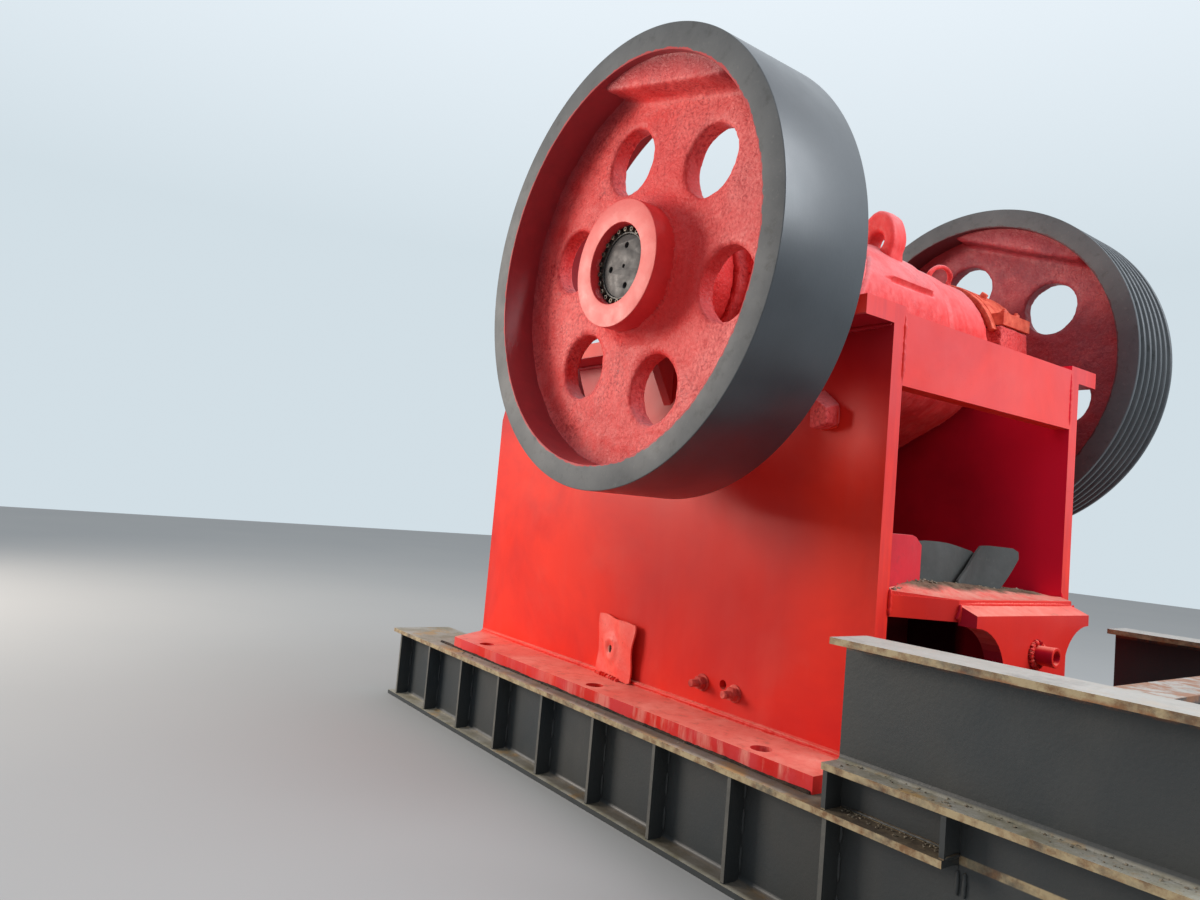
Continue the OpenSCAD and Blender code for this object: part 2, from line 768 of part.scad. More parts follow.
module ring(y0) {
  difference() {
    along_y(shaft_x, shaft_z, hub_bore_r - run_gap, y0, y0 + ring_len, 64);
    along_y(shaft_x, shaft_z, wheel_seat_r + run_gap, y0 - 1, y0 + ring_len + 1, 64);
  }
}

module locking_rings() {
  color(steel) {
    ring(rim0 + grooved_w - 18 - 14 - ring_len);
    ring(rim0 + 20);
    ring(-rim0 - plain_w + 18 + 14);
    ring(-rim0 - 20 - ring_len);
  }
}

// Stand: two rolled beams side by side under each foot, one above behind the frame
beam_out = out_y + foot_out + beam_ledge;
web_y = beam_out - beam_w / 2;
inner_web_y = web_y - beam_w;
stiff_x0 = x0 + 12 - stiff_pitch;
beam_x0 = stiff_x0 - 60;
beam_x1 = stiff_x0 + bays * stiff_pitch + beam_end;
upper_x0 = x1 + upper_gap;
upper_z = beam_h + riser_h;
riser_x = upper_x0 + stiff_pitch + 4;

module i_shape(z) {
  translate([web_y - beam_w / 2, z]) square([beam_w, beam_ft]);
  translate([web_y - beam_w / 2, z + beam_h - beam_ft]) square([beam_w, beam_ft]);
  translate([web_y - beam_wt / 2, z]) square([beam_wt, beam_h]);
}

module along_x(xa, xb) {
  translate([xa, 0, 0]) rotate([90, 0, 90]) linear_extrude(xb - xa) children();
}

module lower_beam() {
  difference() {
    union() {
      along_x(beam_x0, beam_x1) {
        i_shape(0);
        translate([-beam_w, 0]) i_shape(0);
      }
      for (i = [0 : bays]) {
        x = stiff_x0 + i * stiff_pitch;
        box([x - stiff_t / 2, x + stiff_t / 2], [web_y, beam_out - 7], [beam_ft - 1, beam_h - beam_ft + 1]);
        box([x - stiff_t / 2, x + stiff_t / 2], [inner_web_y - beam_w / 2 + 7, inner_web_y],
            [beam_ft - 1, beam_h - beam_ft + 1]);
      }
    }
    // behind the riser's second stiffener the outer ledge is cut off
    box([riser_x, beam_x1 + 1], [web_y + beam_wt / 2, beam_out + 1], [beam_ft + 1, beam_h + 1]);
  }
}

module upper_beam() {
  along_x(upper_x0, beam_x1) i_shape(upper_z);
}

module near_beam() {
  color(dark) mirror([0, 1, 0]) lower_beam();
}

module far_beam() {
  color(dark) lower_beam();
}

module near_upper_beam() {
  color(dark) mirror([0, 1, 0]) upper_beam();
}

module far_upper_beam() {
  color(dark) upper_beam();
}

// Cross members between the lower beams, rolled sections too; their undersides lie level with the beams'
module cross_member(x) {
  w = inner_web_y - beam_wt / 2;
  b = inner_web_y - beam_w / 2;
  top = beam_h - 60;
  along_x(x - beam_wt / 2, x + beam_wt / 2)
    polygon([[-w, beam_ft], [-w, top], [w, top], [w, beam_ft], [b, beam_ft], [b, 0], [-b, 0], [-b, beam_ft]]);
  box([x - member_w / 2, x + member_w / 2], [-w, w], [top - beam_ft, top]);
  box([x - member_w / 2, x + member_w / 2], [-b, b], [0, beam_ft]);
}

module cross_members() {
  color(dark) for (x = [stiff_x0 + 0.5 * stiff_pitch, 0, stiff_x0 + 8.5 * stiff_pitch])
    cross_member(x);
}

module upper_cross_member() {
  w = web_y - beam_wt / 2;
  x = beam_x1 - member_back;
  low = upper_z + beam_ft;
  top = upper_z + beam_h - beam_ft;
  color(dark) {
    box([x - beam_wt / 2, x + beam_wt / 2], [-w, w], [low, top]);
    for (z = [low, top - beam_ft])
      box([x - member_w / 2, x + member_w / 2], [-w, w], [z, z + beam_ft]);
  }
}

module riser() {
  box([upper_x0, beam_x1], [web_y - beam_wt / 2, web_y + beam_wt / 2], [beam_h, upper_z]);
  for (x = [upper_x0, riser_x - stiff_t])
    box([x, x + stiff_t], [web_y - beam_w / 2 + 7, beam_out - 7], [beam_h, upper_z]);
}

module risers() {
  color(dark) {
    riser();
    mirror([0, 1, 0]) riser();
  }
}

near_side_plate();
far_side_plate();
front_wall();
rear_cross_plate();
rear_shelf();
rod_bracket();
toggle_beam();
fixed_jaw();
jaw_key();
cheek_plates();
bearing_housings();
bearing_caps();
toggle_plate();
tension_rod();
guide_block();
loose_plates();
patch_plate();
side_studs();
side_lug();
pitman();
swing_jaw();
jaw_clamp();
lifting_eye();
barrel_loops();
pitman_rings();
eccentric_shaft();
plain_flywheel();
grooved_flywheel();
locking_rings();
near_beam();
far_beam();
cross_members();
near_upper_beam();
far_upper_beam();
risers();
upper_cross_member();
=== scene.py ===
"""Looks of the jaw crusher: camera, light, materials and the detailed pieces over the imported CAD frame."""
import json
import math

import bmesh
import bpy
import numpy as np
from mathutils import Matrix, Vector


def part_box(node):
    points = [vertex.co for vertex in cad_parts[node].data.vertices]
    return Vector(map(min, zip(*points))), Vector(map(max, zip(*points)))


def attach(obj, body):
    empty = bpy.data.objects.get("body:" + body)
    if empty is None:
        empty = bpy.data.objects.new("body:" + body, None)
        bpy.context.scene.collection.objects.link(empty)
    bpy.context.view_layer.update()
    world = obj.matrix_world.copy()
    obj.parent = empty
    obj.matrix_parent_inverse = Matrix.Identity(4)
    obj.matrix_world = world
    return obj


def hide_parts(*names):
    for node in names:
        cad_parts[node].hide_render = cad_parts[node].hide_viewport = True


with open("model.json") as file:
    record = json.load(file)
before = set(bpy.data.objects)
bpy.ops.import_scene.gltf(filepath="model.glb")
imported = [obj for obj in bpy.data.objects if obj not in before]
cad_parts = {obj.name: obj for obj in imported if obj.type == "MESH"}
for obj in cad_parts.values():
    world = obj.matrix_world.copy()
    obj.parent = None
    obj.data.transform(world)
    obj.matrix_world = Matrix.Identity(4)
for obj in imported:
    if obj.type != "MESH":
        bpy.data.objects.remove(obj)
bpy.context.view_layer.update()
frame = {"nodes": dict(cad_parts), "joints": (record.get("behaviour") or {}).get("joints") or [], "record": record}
scene = bpy.context.scene
NODES = frame["nodes"]
JOINT = {j["name"]: j for j in frame["joints"]}


def lo(node):
    return Vector(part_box(node)[0])


def hi(node):
    return Vector(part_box(node)[1])


# ---------------- sizes in metres, from the frame where it has them
SHAFT = Vector(JOINT["shaft_spin"]["pos_m"])
ECC = Vector(JOINT["jaw_orbit"]["pos_m"])
FRONT_X, REAR_X = lo("near_side_plate").x, hi("near_side_plate").x
FOOT_Z, TOP_Z = lo("near_side_plate").z, hi("near_side_plate").z
IN_Y = hi("rear_cross_plate").y
SIDE_T = 0.042
OUT_Y = IN_Y + SIDE_T
FOOT_TOP = FOOT_Z + 0.036
FLANGE_LOW = TOP_Z - 0.044
FLANGE_X = FRONT_X + 0.150
SHELF_X0 = lo("rear_shelf").x
SHELF_TOP, SHELF_LOW = hi("rear_shelf").z, lo("rear_shelf").z
CROSS_LOW, CROSS_TOP = lo("rear_cross_plate").z, hi("rear_cross_plate").z
BRACKET_X = hi("rear_shelf").x
BRACKET_HALF = hi("rod_bracket").y
EAR_TOP = hi("bearing_housings").z - 0.200 + 0.080 + 0.0383
CAP_Y0, CAP_Y1 = IN_Y + 0.034, IN_Y + 0.188
CAP_R = 0.2393
BARREL_R, SADDLE_H, SADDLE_HALF, EYE_T = 0.243, 0.008, 0.150, 0.056
SADDLE_TURNS = (-12.0, 100.0)
STEP_TURN, STEP_Y, STEP_H, GROOVE_Y = 26.5, 0.088, 0.008, 0.152
EYE_UP, EYE_BACK, EYE_R, EYE_HOLE_R, EYE_GROW = 0.046, math.radians(23), 0.056, 0.027, 0.004
EYE_LOW_K, EYE_TOP_K, EYE_DROP, LOOP_STRETCH = 1.15, 1.53, 0.008, 1.55
BLOCK_X0, BLOCK_X1, BLOCK_TOP = lo("guide_block").x, hi("guide_block").x, hi("guide_block").z
ROD_Z = (lo("tension_rod").z + hi("tension_rod").z) / 2
ROD_X0, ROD_R = lo("tension_rod").x, 0.011
BRACKET_FACE = hi("rod_bracket").x
WHEEL_R = (hi("plain_flywheel").x - lo("plain_flywheel").x) / 2
RIM_IN_R = WHEEL_R - 0.060
HUB_R, HUB_BORE_R, HUB_RECESS = 0.152, 0.097, 0.018
RIM0 = 0.630
WEB_HOLE_R = 0.083
OPENINGS = {o["name"]: np.array(o["box_m"]) for o in frame["record"]["physics"]["openings"]}
WEB_HOLES = {w + "_flywheel": [b for n, b in OPENINGS.items() if n.startswith(w + "_wheel_hole")]
             for w in ("plain", "grooved")}
PLAIN_W = 0.247
GROOVES, GROOVE_PITCH, GROOVE_DEEP = 6, 0.037, 0.025
GROOVED_W = GROOVES * GROOVE_PITCH + 0.014
HUB_FACE = {-1: RIM0 + PLAIN_W - HUB_RECESS, 1: RIM0 + GROOVED_W - HUB_RECESS}
RING_LOW = {s: f - 0.070 for s, f in HUB_FACE.items()}
SHAFT_IN, RING_IN = 0.027, 0.024
BEAM_W, BEAM_H, BEAM_FT, BEAM_WT = 0.116, 0.250, 0.013, 0.009
BEAM_OUT = hi("far_beam").y
WEB_Y = BEAM_OUT - BEAM_W / 2
INNER_WEB_Y = WEB_Y - BEAM_W
BEAM_X0, BEAM_X1 = lo("near_beam").x, hi("near_beam").x
UPPER_X0, UPPER_Z = lo("near_upper_beam").x, lo("near_upper_beam").z
STIFF_X0, STIFF_PITCH, STIFFENERS, STIFF_T = FRONT_X + 0.012 - 0.252, 0.252, 11, 0.010
RISER_X = UPPER_X0 + STIFF_PITCH + 0.004
STUDS = [(REAR_X - 0.510, FOOT_Z + 0.103), (REAR_X - 0.393, FOOT_Z + 0.100)]
LUG_X1 = 0.722
LIP_R0, LIP_R1 = 0.222, CAP_R - 0.0015
SHEET_T = 0.006
SHELF_SLOPE = (BRACKET_X - REAR_X) / (IN_Y - BRACKET_HALF)
HOLE_X, HOLE_Z, HOLE_R = -0.040, 0.369, 0.0072
rng = np.random.default_rng(7)


# ---------------- numeric noise for castings
def lattice(ix, iy, iz, seed):
    n = (ix * 374761393 + iy * 668265263 + iz * 2147483647 + seed * 1274126177) & 0x7FFFFFFF
    n = ((n ^ (n >> 13)) * 1274126177) & 0x7FFFFFFF
    return ((n ^ (n >> 16)) & 0xFFFF) / 32767.5 - 1.0


def value_noise(p, size, seed=0):
    """Smooth noise in -1..1 at points p (n x 3); size is the width of a bump in metres."""
    q = p / size
    i = np.floor(q).astype(np.int64)
    f = q - i
    f = f * f * (3 - 2 * f)
    out = np.zeros(len(p))
    for dx in (0, 1):
        for dy in (0, 1):
            for dz in (0, 1):
                w = (f[:, 0] if dx else 1 - f[:, 0]) * (f[:, 1] if dy else 1 - f[:, 1])
                w = w * (f[:, 2] if dz else 1 - f[:, 2])
                out += w * lattice(i[:, 0] + dx, i[:, 1] + dy, i[:, 2] + dz, seed)
    return out


# ---------------- materials
class Graph:
    """Small helper that builds a Principled material node by node."""

    def __init__(self, name):
        self.mat = bpy.data.materials.new(name)
        self.mat.use_nodes = True
        self.tree = self.mat.node_tree
        self.bsdf = self.tree.nodes["Principled BSDF"]
        coord = self.node("ShaderNodeTexCoord")
        self.coords = coord.outputs["Object"]
        self.x, self.y, self.z = self.split(self.coords)
        self.nx, self.ny, self.nz = self.split(coord.outputs["Normal"])
        self.normal = None

    def node(self, kind, **props):
        n = self.tree.nodes.new(kind)
        for k, v in props.items():
            setattr(n, k, v)
        return n

    def put(self, socket, value):
        if isinstance(value, bpy.types.NodeSocket):
            self.tree.links.new(value, socket)
        elif isinstance(value, tuple) and len(value) == 3 and socket.type == "RGBA":
            socket.default_value = (*value, 1)
        else:
            socket.default_value = value

    def split(self, vector):
        n = self.node("ShaderNodeSeparateXYZ")
        self.put(n.inputs[0], vector)
        return n.outputs

    def stretch(self, scale):
        n = self.node("ShaderNodeMapping")
        self.put(n.inputs["Vector"], self.coords)
        n.inputs["Scale"].default_value = scale
        return n.outputs[0]

    def noise(self, scale, detail=4.0, rough=0.55, vector=None, distort=0.0):
        n = self.node("ShaderNodeTexNoise")
        self.put(n.inputs["Vector"], vector or self.coords)
        n.inputs["Scale"].default_value = scale
        n.inputs["Detail"].default_value = detail
        n.inputs["Roughness"].default_value = rough
        n.inputs["Distortion"].default_value = distort
        return n.outputs["Fac"]

    def ramp(self, value, a, b, low=0.0, high=1.0):
        n = self.node("ShaderNodeMapRange", clamp=True)
        self.put(n.inputs["Value"], value)
        for k, v in (("From Min", a), ("From Max", b), ("To Min", low), ("To Max", high)):
            n.inputs[k].default_value = v
        return n.outputs[0]

    def grain(self, scale, detail, rough, *ends):
        """Noise under a ramp: a patch mask."""
        return self.ramp(self.noise(scale, detail, rough), *ends)

    def math(self, op, a, b=0.0):
        n = self.node("ShaderNodeMath", operation=op)
        self.put(n.inputs[0], a)
        self.put(n.inputs[1], b)
        return n.outputs[0]

    def times(self, *values):
        out = values[0]
        for v in values[1:]:
            out = self.math("MULTIPLY", out, v)
        return out

    def either(self, *values):
        out = values[0]
        for v in values[1:]:
            out = self.math("MAXIMUM", out, v)
        return out

    def mix(self, fac, a, b):
        n = self.node("ShaderNodeMix", data_type="RGBA")
        self.put(n.inputs["Factor"], fac)
        self.put(n.inputs[6], a)
        self.put(n.inputs[7], b)
        return n.outputs[2]

    def size(self, value):
        return self.math("ABSOLUTE", value)

    def upward(self, a=0.6, b=0.95):
        """1 on faces that look up, 0 on upright ones."""
        return self.ramp(self.nz, a, b)

    def pits(self, a=0.47, b=0.40):
        """1 in the hollows of a dense mesh."""
        return self.ramp(self.node("ShaderNodeNewGeometry").outputs["Pointiness"], a, b)

    def band(self, value, middle, half, soft=0.002):
        """1 where value is within half of middle."""
        d = self.size(self.math("SUBTRACT", value, middle))
        return self.ramp(d, half + soft, half)

    def radius(self):
        """Distance from the shaft's axis."""
        dx = self.math("SUBTRACT", self.x, SHAFT.x)
        dz = self.math("SUBTRACT", self.z, SHAFT.z)
        return self.math("SQRT", self.math("ADD", self.times(dx, dx), self.times(dz, dz)))

    def bump(self, height, distance, strength=1.0):
        n = self.node("ShaderNodeBump")
        n.inputs["Strength"].default_value = strength
        n.inputs["Distance"].default_value = distance
        self.put(n.inputs["Height"], height)
        if self.normal:
            self.put(n.inputs["Normal"], self.normal)
        self.normal = n.outputs[0]

    def done(self, color, rough, metallic=0.0, coat=0.0, coat_rough=0.15, specular=0.5):
        b = self.bsdf.inputs
        self.put(b["Coat Weight"], coat)
        self.put(b["Base Color"], color)
        self.put(b["Roughness"], rough)
        self.put(b["Metallic"], metallic)
        b["Coat Roughness"].default_value = coat_rough
        b["Specular IOR Level"].default_value = specular
        if self.normal:
            self.put(b["Normal"], self.normal)
        return self.mat


RED = (0.84, 0.032, 0.013)
RED_DEEP = (0.60, 0.018, 0.014)
CRIMSON = (0.74, 0.036, 0.036)
CRIMSON_DEEP = (0.44, 0.014, 0.018)
PINK = (0.82, 0.20, 0.17)
RUST = (0.26, 0.095, 0.030)
OCHRE = (0.42, 0.25, 0.085)
OLIVE = (0.205, 0.185, 0.120)
DUST_GREY = (0.36, 0.345, 0.30)


def red_plate():
    """Sprayed red on rolled plate: faint clouds, dust that dulls it, brush marks on the foot; painted shade in the
    chamber, under the flange and shelf and behind the wheel, painted sky sheen on rear and upward faces.
    """
    g = Graph("red_plate")
    color = g.mix(g.ramp(g.noise(1.9, 5, 0.6, distort=0.5), 0.38, 0.66), RED, RED_DEEP)
    streak = g.noise(5.0, 6, 0.6, g.stretch((1, 1, 0.22)))
    color = g.mix(g.ramp(streak, 0.50, 0.76, 0, 0.14), color, PINK)
    color = g.mix(g.grain(3.1, 6, 0.65, 0.54, 0.70, 0, 0.16), color, (0.72, 0.13, 0.10))
    # pale worn brush work and painted sky sheen on faces that look up
    brush = g.noise(6, 6, 0.6, g.stretch((1, 0.5, 1)))
    flat = g.times(g.upward(), g.ramp(brush, 0.30, 0.66, 0.45, 0.90))
    color = g.mix(flat, color, g.mix(g.grain(30, 5, 0.65, 0.32, 0.68), (0.83, 0.32, 0.25),
                                     (0.76, 0.19, 0.145)))
    grime = g.times(g.upward(), g.grain(30, 6, 0.7, 0.56, 0.72, 0, 0.75))
    color = g.mix(grime, color, (0.40, 0.17, 0.12))
    # strokes run down the foot's outer edge and leave the primer pale
    edge = g.times(g.band(g.z, FOOT_Z + 0.018, 0.020), g.ramp(g.size(g.ny), 0.6, 0.9))
    strokes = g.times(g.ramp(g.noise(24, 5, 0.65, g.stretch((1, 1, 0.18))), 0.48, 0.62, 0, 0.75),
                      g.ramp(g.x, -0.25, 0.2, 0.25, 1.0))
    color = g.mix(g.times(edge, g.grain(7, 5, 0.6, 0.42, 0.60, 0, 0.6)), color, (0.64, 0.070, 0.085))
    color = g.mix(g.times(edge, strokes), color, (0.82, 0.30, 0.24))
    # flame-cut end faces are darker and streaked
    lines = g.ramp(g.noise(30, 4, 0.6, g.stretch((1, 1.6, 0.12))), 0.4, 0.7, 0, 0.5)
    rear = g.ramp(g.size(g.nx), 0.6, 0.9)
    sides = g.ramp(g.size(g.y), IN_Y - 0.004, IN_Y - 0.002)
    color = g.mix(g.times(rear, sides, lines), color, CRIMSON_DEEP)
    # painted sky reflection: a pink cloud on the rear faces, stronger higher up
    sky_sheen_cloud = g.times(g.grain(2.6, 5, 0.6, 0.35, 0.7, 0.5, 1.0), g.ramp(g.z, 0.60, 1.25, 0.04, 0.36))
    color = g.mix(g.times(rear, sky_sheen_cloud), color, (0.72, 0.22, 0.25))
    # painted shade: the faces in the chamber are painted a darker, colder crimson, with a painted lit patch on the
    # far face near the rear
    inner = g.times(g.ramp(g.size(g.y), IN_Y + 0.004, IN_Y + 0.002), g.ramp(g.size(g.ny), 0.6, 0.9))
    color = g.mix(inner, color, g.mix(g.grain(3.0, 6, 0.6, 0.35, 0.68), (0.52, 0.010, 0.032),
                                      (0.32, 0.006, 0.020)))
    lit = g.times(inner, g.ramp(g.y, 0.1, 0.2), g.ramp(g.x, REAR_X - 0.30, REAR_X - 0.06, 0, 0.85))
    color = g.mix(lit, color, (0.95, 0.016, 0.055))
    # painted shade: near black under the shelf inside the frame
    low = g.times(g.ramp(g.size(g.y), IN_Y + 0.006, IN_Y + 0.004), g.ramp(g.x, REAR_X - 0.03, REAR_X - 0.06))
    color = g.mix(g.times(low, g.ramp(g.z, SHELF_LOW + 0.06, SHELF_LOW - 0.02)), color, (0.045, 0.006, 0.010))
    # painted shade under the top flange
    under = g.times(g.ramp(g.z, FLANGE_LOW - 0.26, FLANGE_LOW - 0.02),
                    g.ramp(g.z, FLANGE_LOW + 0.004, FLANGE_LOW + 0.001))
    under = g.times(under, g.ramp(g.size(g.y), OUT_Y - 0.006, OUT_Y - 0.004), g.ramp(g.size(g.nx), 0.5, 0.3))
    color = g.mix(g.times(under, 0.80), color, (0.30, 0.008, 0.022))
    # painted shadow of the near wheel on the side plate; rear faces past the plate's end are darker
    shade = g.times(g.ramp(g.x, -0.45, 0.12, 0, 0.58), g.ramp(g.x, 0.60, 0.73, 1, 0.2),
                    g.ramp(g.z, FOOT_TOP + 0.02, FOOT_TOP + 0.3, 0.3, 1.0))
    shade = g.times(shade, g.ramp(g.size(g.ny), 0.6, 0.9), g.ramp(g.y, -OUT_Y + 0.004, -OUT_Y + 0.002))
    color = g.mix(shade, color, (0.40, 0.014, 0.014))
    color = g.mix(g.times(rear, g.ramp(g.x, REAR_X + 0.01, REAR_X + 0.02, 0, 0.40)), color,
                  (0.50, 0.014, 0.014))
    # painted shade: the plate is painted near black behind the bent sheet's hole
    dx, dz = g.math("SUBTRACT", g.x, HOLE_X), g.math("SUBTRACT", g.z, HOLE_Z)
    near = g.math("SQRT", g.math("ADD", g.times(dx, dx), g.times(dz, dz)))
    color = g.mix(g.times(g.ramp(near, 0.050, 0.045), g.ramp(g.y, -OUT_Y + 0.003, -OUT_Y + 0.001)), color,
                  (0.012, 0.006, 0.006))
    color = g.mix(g.grain(240, 2, 0.5, 0.71, 0.77, 0, 0.45), color, (0.22, 0.012, 0.010))
    rough = g.math("ADD", g.grain(6, 5, 0.6, 0.3, 0.7, 0.30, 0.46), g.times(flat, 0.22))
    g.bump(g.noise(1.3, 2, 0.5), 0.010, 0.5)
    g.bump(streak, 0.0012, 0.4)
    g.bump(g.noise(170, 3, 0.6), 0.0005, 0.35)
    return g.done(color, rough, coat=0.03, coat_rough=0.18, specular=0.11)


def red_inside_shaded():
    """The same paint in the chamber and under the shelf, painted darker as painted shade, and dirtier."""
    g = Graph("red_inside_shaded")
    color = g.mix(g.grain(3.4, 6, 0.6, 0.35, 0.68), (0.60, 0.013, 0.026), (0.36, 0.007, 0.018))
    color = g.mix(g.grain(12, 6, 0.7, 0.57, 0.74, 0, 0.6), color, (0.17, 0.025, 0.025))
    # painted shade: near black below the shelf
    color = g.mix(g.times(g.ramp(g.z, SHELF_LOW + 0.02, SHELF_LOW - 0.06), 0.8), color, (0.040, 0.008, 0.010))
    dirt = g.times(g.upward(), g.grain(9, 7, 0.7, 0.34, 0.56))
    color = g.mix(dirt, color, g.mix(g.noise(60, 5, 0.7), (0.30, 0.21, 0.16), (0.52, 0.33, 0.28)))
    g.bump(g.noise(110, 4, 0.6), 0.0008, 0.5)
    return g.done(color, g.grain(9, 5, 0.6, 0.3, 0.7, 0.40, 0.62), specular=0.3)


def red_cast(name, haze, dull=0.0, pitted=1.0, rim=False):
    """Brushed red on rough sand castings, with painted highlight and shade on the grain; wheels get painted light
    on the web's right side and are painted darker towards their rim as painted shadow.
    """
    g = Graph(name)
    grain = g.noise(118, 5, 0.62, distort=0.5)
    blotch = g.noise(6, 6, 0.62, distort=0.4)
    color = g.mix(g.ramp(blotch, 0.34, 0.68), (0.85, 0.056, 0.053), (0.62, 0.020, 0.022))
    brush = g.noise(19, 6, 0.66, g.stretch((1, 2.5, 1)))
    color = g.mix(g.ramp(brush, 0.42, 0.66, 0, haze), color, (0.88, 0.18, 0.17))
    # dust and painted sky sheen on faces that look up
    dust_and_sheen = g.times(g.upward(0.15, 0.95), g.grain(14, 6, 0.65, 0.30, 0.62, 0.35, 0.85))
    color = g.mix(dust_and_sheen, color, (0.64, 0.29, 0.30))
    patches = g.grain(7, 5, 0.62, 0.40, 0.60, 0.08, 0.64)
    # painted highlight on the grain's raised points and painted shade in its hollows
    painted_grain_light = g.mix(g.ramp(grain, 0.38, 0.62), (0.92, 0.15, 0.135), (0.44, 0.014, 0.022))
    color = g.mix(g.times(patches, pitted), color, painted_grain_light)
    dark = g.times(g.ramp(grain, 0.57, 0.64), patches)
    color = g.mix(g.ramp(g.either(dark, g.pits()), 0.1, 0.8, 0, 0.55 * pitted), color, (0.24, 0.014, 0.022))
    # painted shade: the far wheel is dulled towards a dark grey-red
    if dull:
        color = g.mix(g.grain(11, 5, 0.65, 0.3, 0.6, dull * 0.7, dull), color, (0.13, 0.055, 0.080))
    if rim:
        # painted light on the web's right side
        pale = g.times(g.ramp(g.x, SHAFT.x + 0.02, SHAFT.x + 0.34, 0, 0.40),
                       g.ramp(grain, 0.35, 0.6, 1.0, 0.4))
        color = g.mix(g.times(pale, 0.2 if dull else 1.0), color, (0.90, 0.30, 0.28))
        # deeper red near the hub on the web's right side
        deep = g.times(g.ramp(g.radius(), 0.34, 0.19), g.ramp(g.x, SHAFT.x - 0.02, SHAFT.x + 0.10, 0, 0.75))
        color = g.mix(g.times(deep, 0.5 if dull else 1.0), color, (0.76, 0.022, 0.020))
        # painted shadow of the rim: darker along the web's edge under the rim, more so higher up
        high = g.ramp(g.z, SHAFT.z - 0.28, SHAFT.z + 0.10, 0.25, 0.88)
        color = g.mix(g.times(g.ramp(g.radius(), RIM_IN_R - 0.050, RIM_IN_R - 0.004), high), color,
                      (0.26, 0.018, 0.026))
    g.bump(g.noise(330, 2, 0.5), 0.0010, 0.5 * pitted)
    g.bump(g.math("SUBTRACT", 1.0, grain), 0.0042, 0.9 * pitted)
    g.bump(g.noise(44, 4, 0.6), 0.0035, 0.5)
    return g.done(color, g.grain(22, 5, 0.6, 0.3, 0.7, 0.34, 0.58), coat=0.03, coat_rough=0.25, specular=0.24)


def hub_paint():
    """Smooth face in lighter salmon, partly its paint and partly painted sky light, on a deep red hub."""
    g = Graph("hub_paint")
    # painted sky light: the hub's face is partly lighter than its deep red side because of how light falls on it
    face = g.times(g.ramp(g.size(g.ny), 0.6, 0.9), g.grain(7, 4, 0.55, 0.3, 0.7, 0.80, 1.0))
    color = g.mix(g.grain(6, 5, 0.6, 0.35, 0.65), (0.82, 0.058, 0.056), (0.60, 0.028, 0.032))
    color = g.mix(face, color, (0.78, 0.128, 0.112))
    color = g.mix(g.grain(70, 4, 0.6, 0.62, 0.74, 0, 0.25), color, (0.50, 0.05, 0.05))
    g.bump(g.noise(90, 4, 0.6), 0.0010, 0.5)
    g.bump(g.noise(14, 4, 0.6), 0.0030, 0.4)
    return g.done(color, g.grain(22, 5, 0.6, 0.3, 0.7, 0.36, 0.52), coat=0.03, coat_rough=0.25, specular=0.24)


def rim_iron():
    """Turned rim: dull bare face, dark painted tread, and the web's red run a little over its inner edge; its
    inner wall is painted dark as painted shade.
    """
    g = Graph("rim_iron")
    face = g.ramp(g.size(g.ny), 0.5, 0.8)
    r = g.radius()
    tread = g.mix(g.grain(4, 5, 0.6, 0.3, 0.7), (0.015, 0.018, 0.023), (0.030, 0.035, 0.042))
    tread = g.mix(g.grain(50, 5, 0.7, 0.60, 0.74, 0, 0.5), tread, (0.022, 0.024, 0.027))
    bare = g.mix(g.grain(5, 6, 0.65, 0.3, 0.7), (0.058, 0.065, 0.071), (0.100, 0.108, 0.114))
    bare = g.mix(g.grain(30, 6, 0.7, 0.55, 0.72, 0, 0.7), bare, (0.022, 0.026, 0.025))
    bare = g.mix(g.grain(120, 4, 0.7, 0.60, 0.72, 0, 0.5), bare, (0.16, 0.16, 0.155))
    base = g.mix(face, tread, bare)
    spill = g.math("ADD", r, g.grain(34, 5, 0.65, 0.2, 0.8, -0.006, 0.005))
    red = g.ramp(spill, RIM_IN_R + 0.0045, RIM_IN_R + 0.003)
    # painted shade: the rim's red inner wall is painted dark, darker still on the far wheel
    wall = g.mix(g.noise(30, 5, 0.6), (0.17, 0.010, 0.016), (0.34, 0.018, 0.026))
    wall = g.mix(g.ramp(g.y, -0.1, 0.1, 0, 0.85), wall, (0.045, 0.022, 0.026))
    color = g.mix(red, base, g.mix(g.times(face, g.ramp(g.y, -0.1, 0.1, 1, 0)), wall, CRIMSON_DEEP))
    rough = g.math("ADD", g.grain(9, 5, 0.6, 0.3, 0.7, 0.36, 0.48), g.times(face, 0.22))
    g.bump(g.noise(1.0, 3, 0.6, g.stretch((2, 380, 2))), 0.0006, 0.25)
    g.bump(g.noise(110, 4, 0.6), 0.0006, 0.3)
    return g.done(color, rough, coat=g.ramp(face, 0, 1, 0.55, 0.0), coat_rough=0.30, specular=0.5)


def bare_steel():
    g = Graph("bare_steel")
    base = g.mix(g.grain(34, 6, 0.65, 0.35, 0.7), (0.050, 0.049, 0.050), (0.028, 0.0275, 0.029))
    base = g.mix(g.grain(70, 5, 0.6, 0.58, 0.72, 0, 0.35), base, (0.085, 0.083, 0.084))
    g.bump(g.noise(160, 4, 0.6), 0.0006, 0.4)
    return g.done(base, g.grain(40, 4, 0.6, 0.3, 0.7, 0.45, 0.65), metallic=0.35)


def dark_steel(name, dark, light):
    """Oiled clamping rings and screws in the hub bores."""
    g = Graph(name)
    base = g.mix(g.grain(60, 5, 0.65, 0.35, 0.7), dark, light)
    base = g.mix(g.grain(110, 5, 0.6, 0.62, 0.72, 0, 0.5), base, (0.12, 0.07, 0.04))
    g.bump(g.noise(200, 4, 0.6), 0.0006, 0.4)
    return g.done(base, g.grain(50, 4, 0.6, 0.3, 0.7, 0.36, 0.6), metallic=0.3)


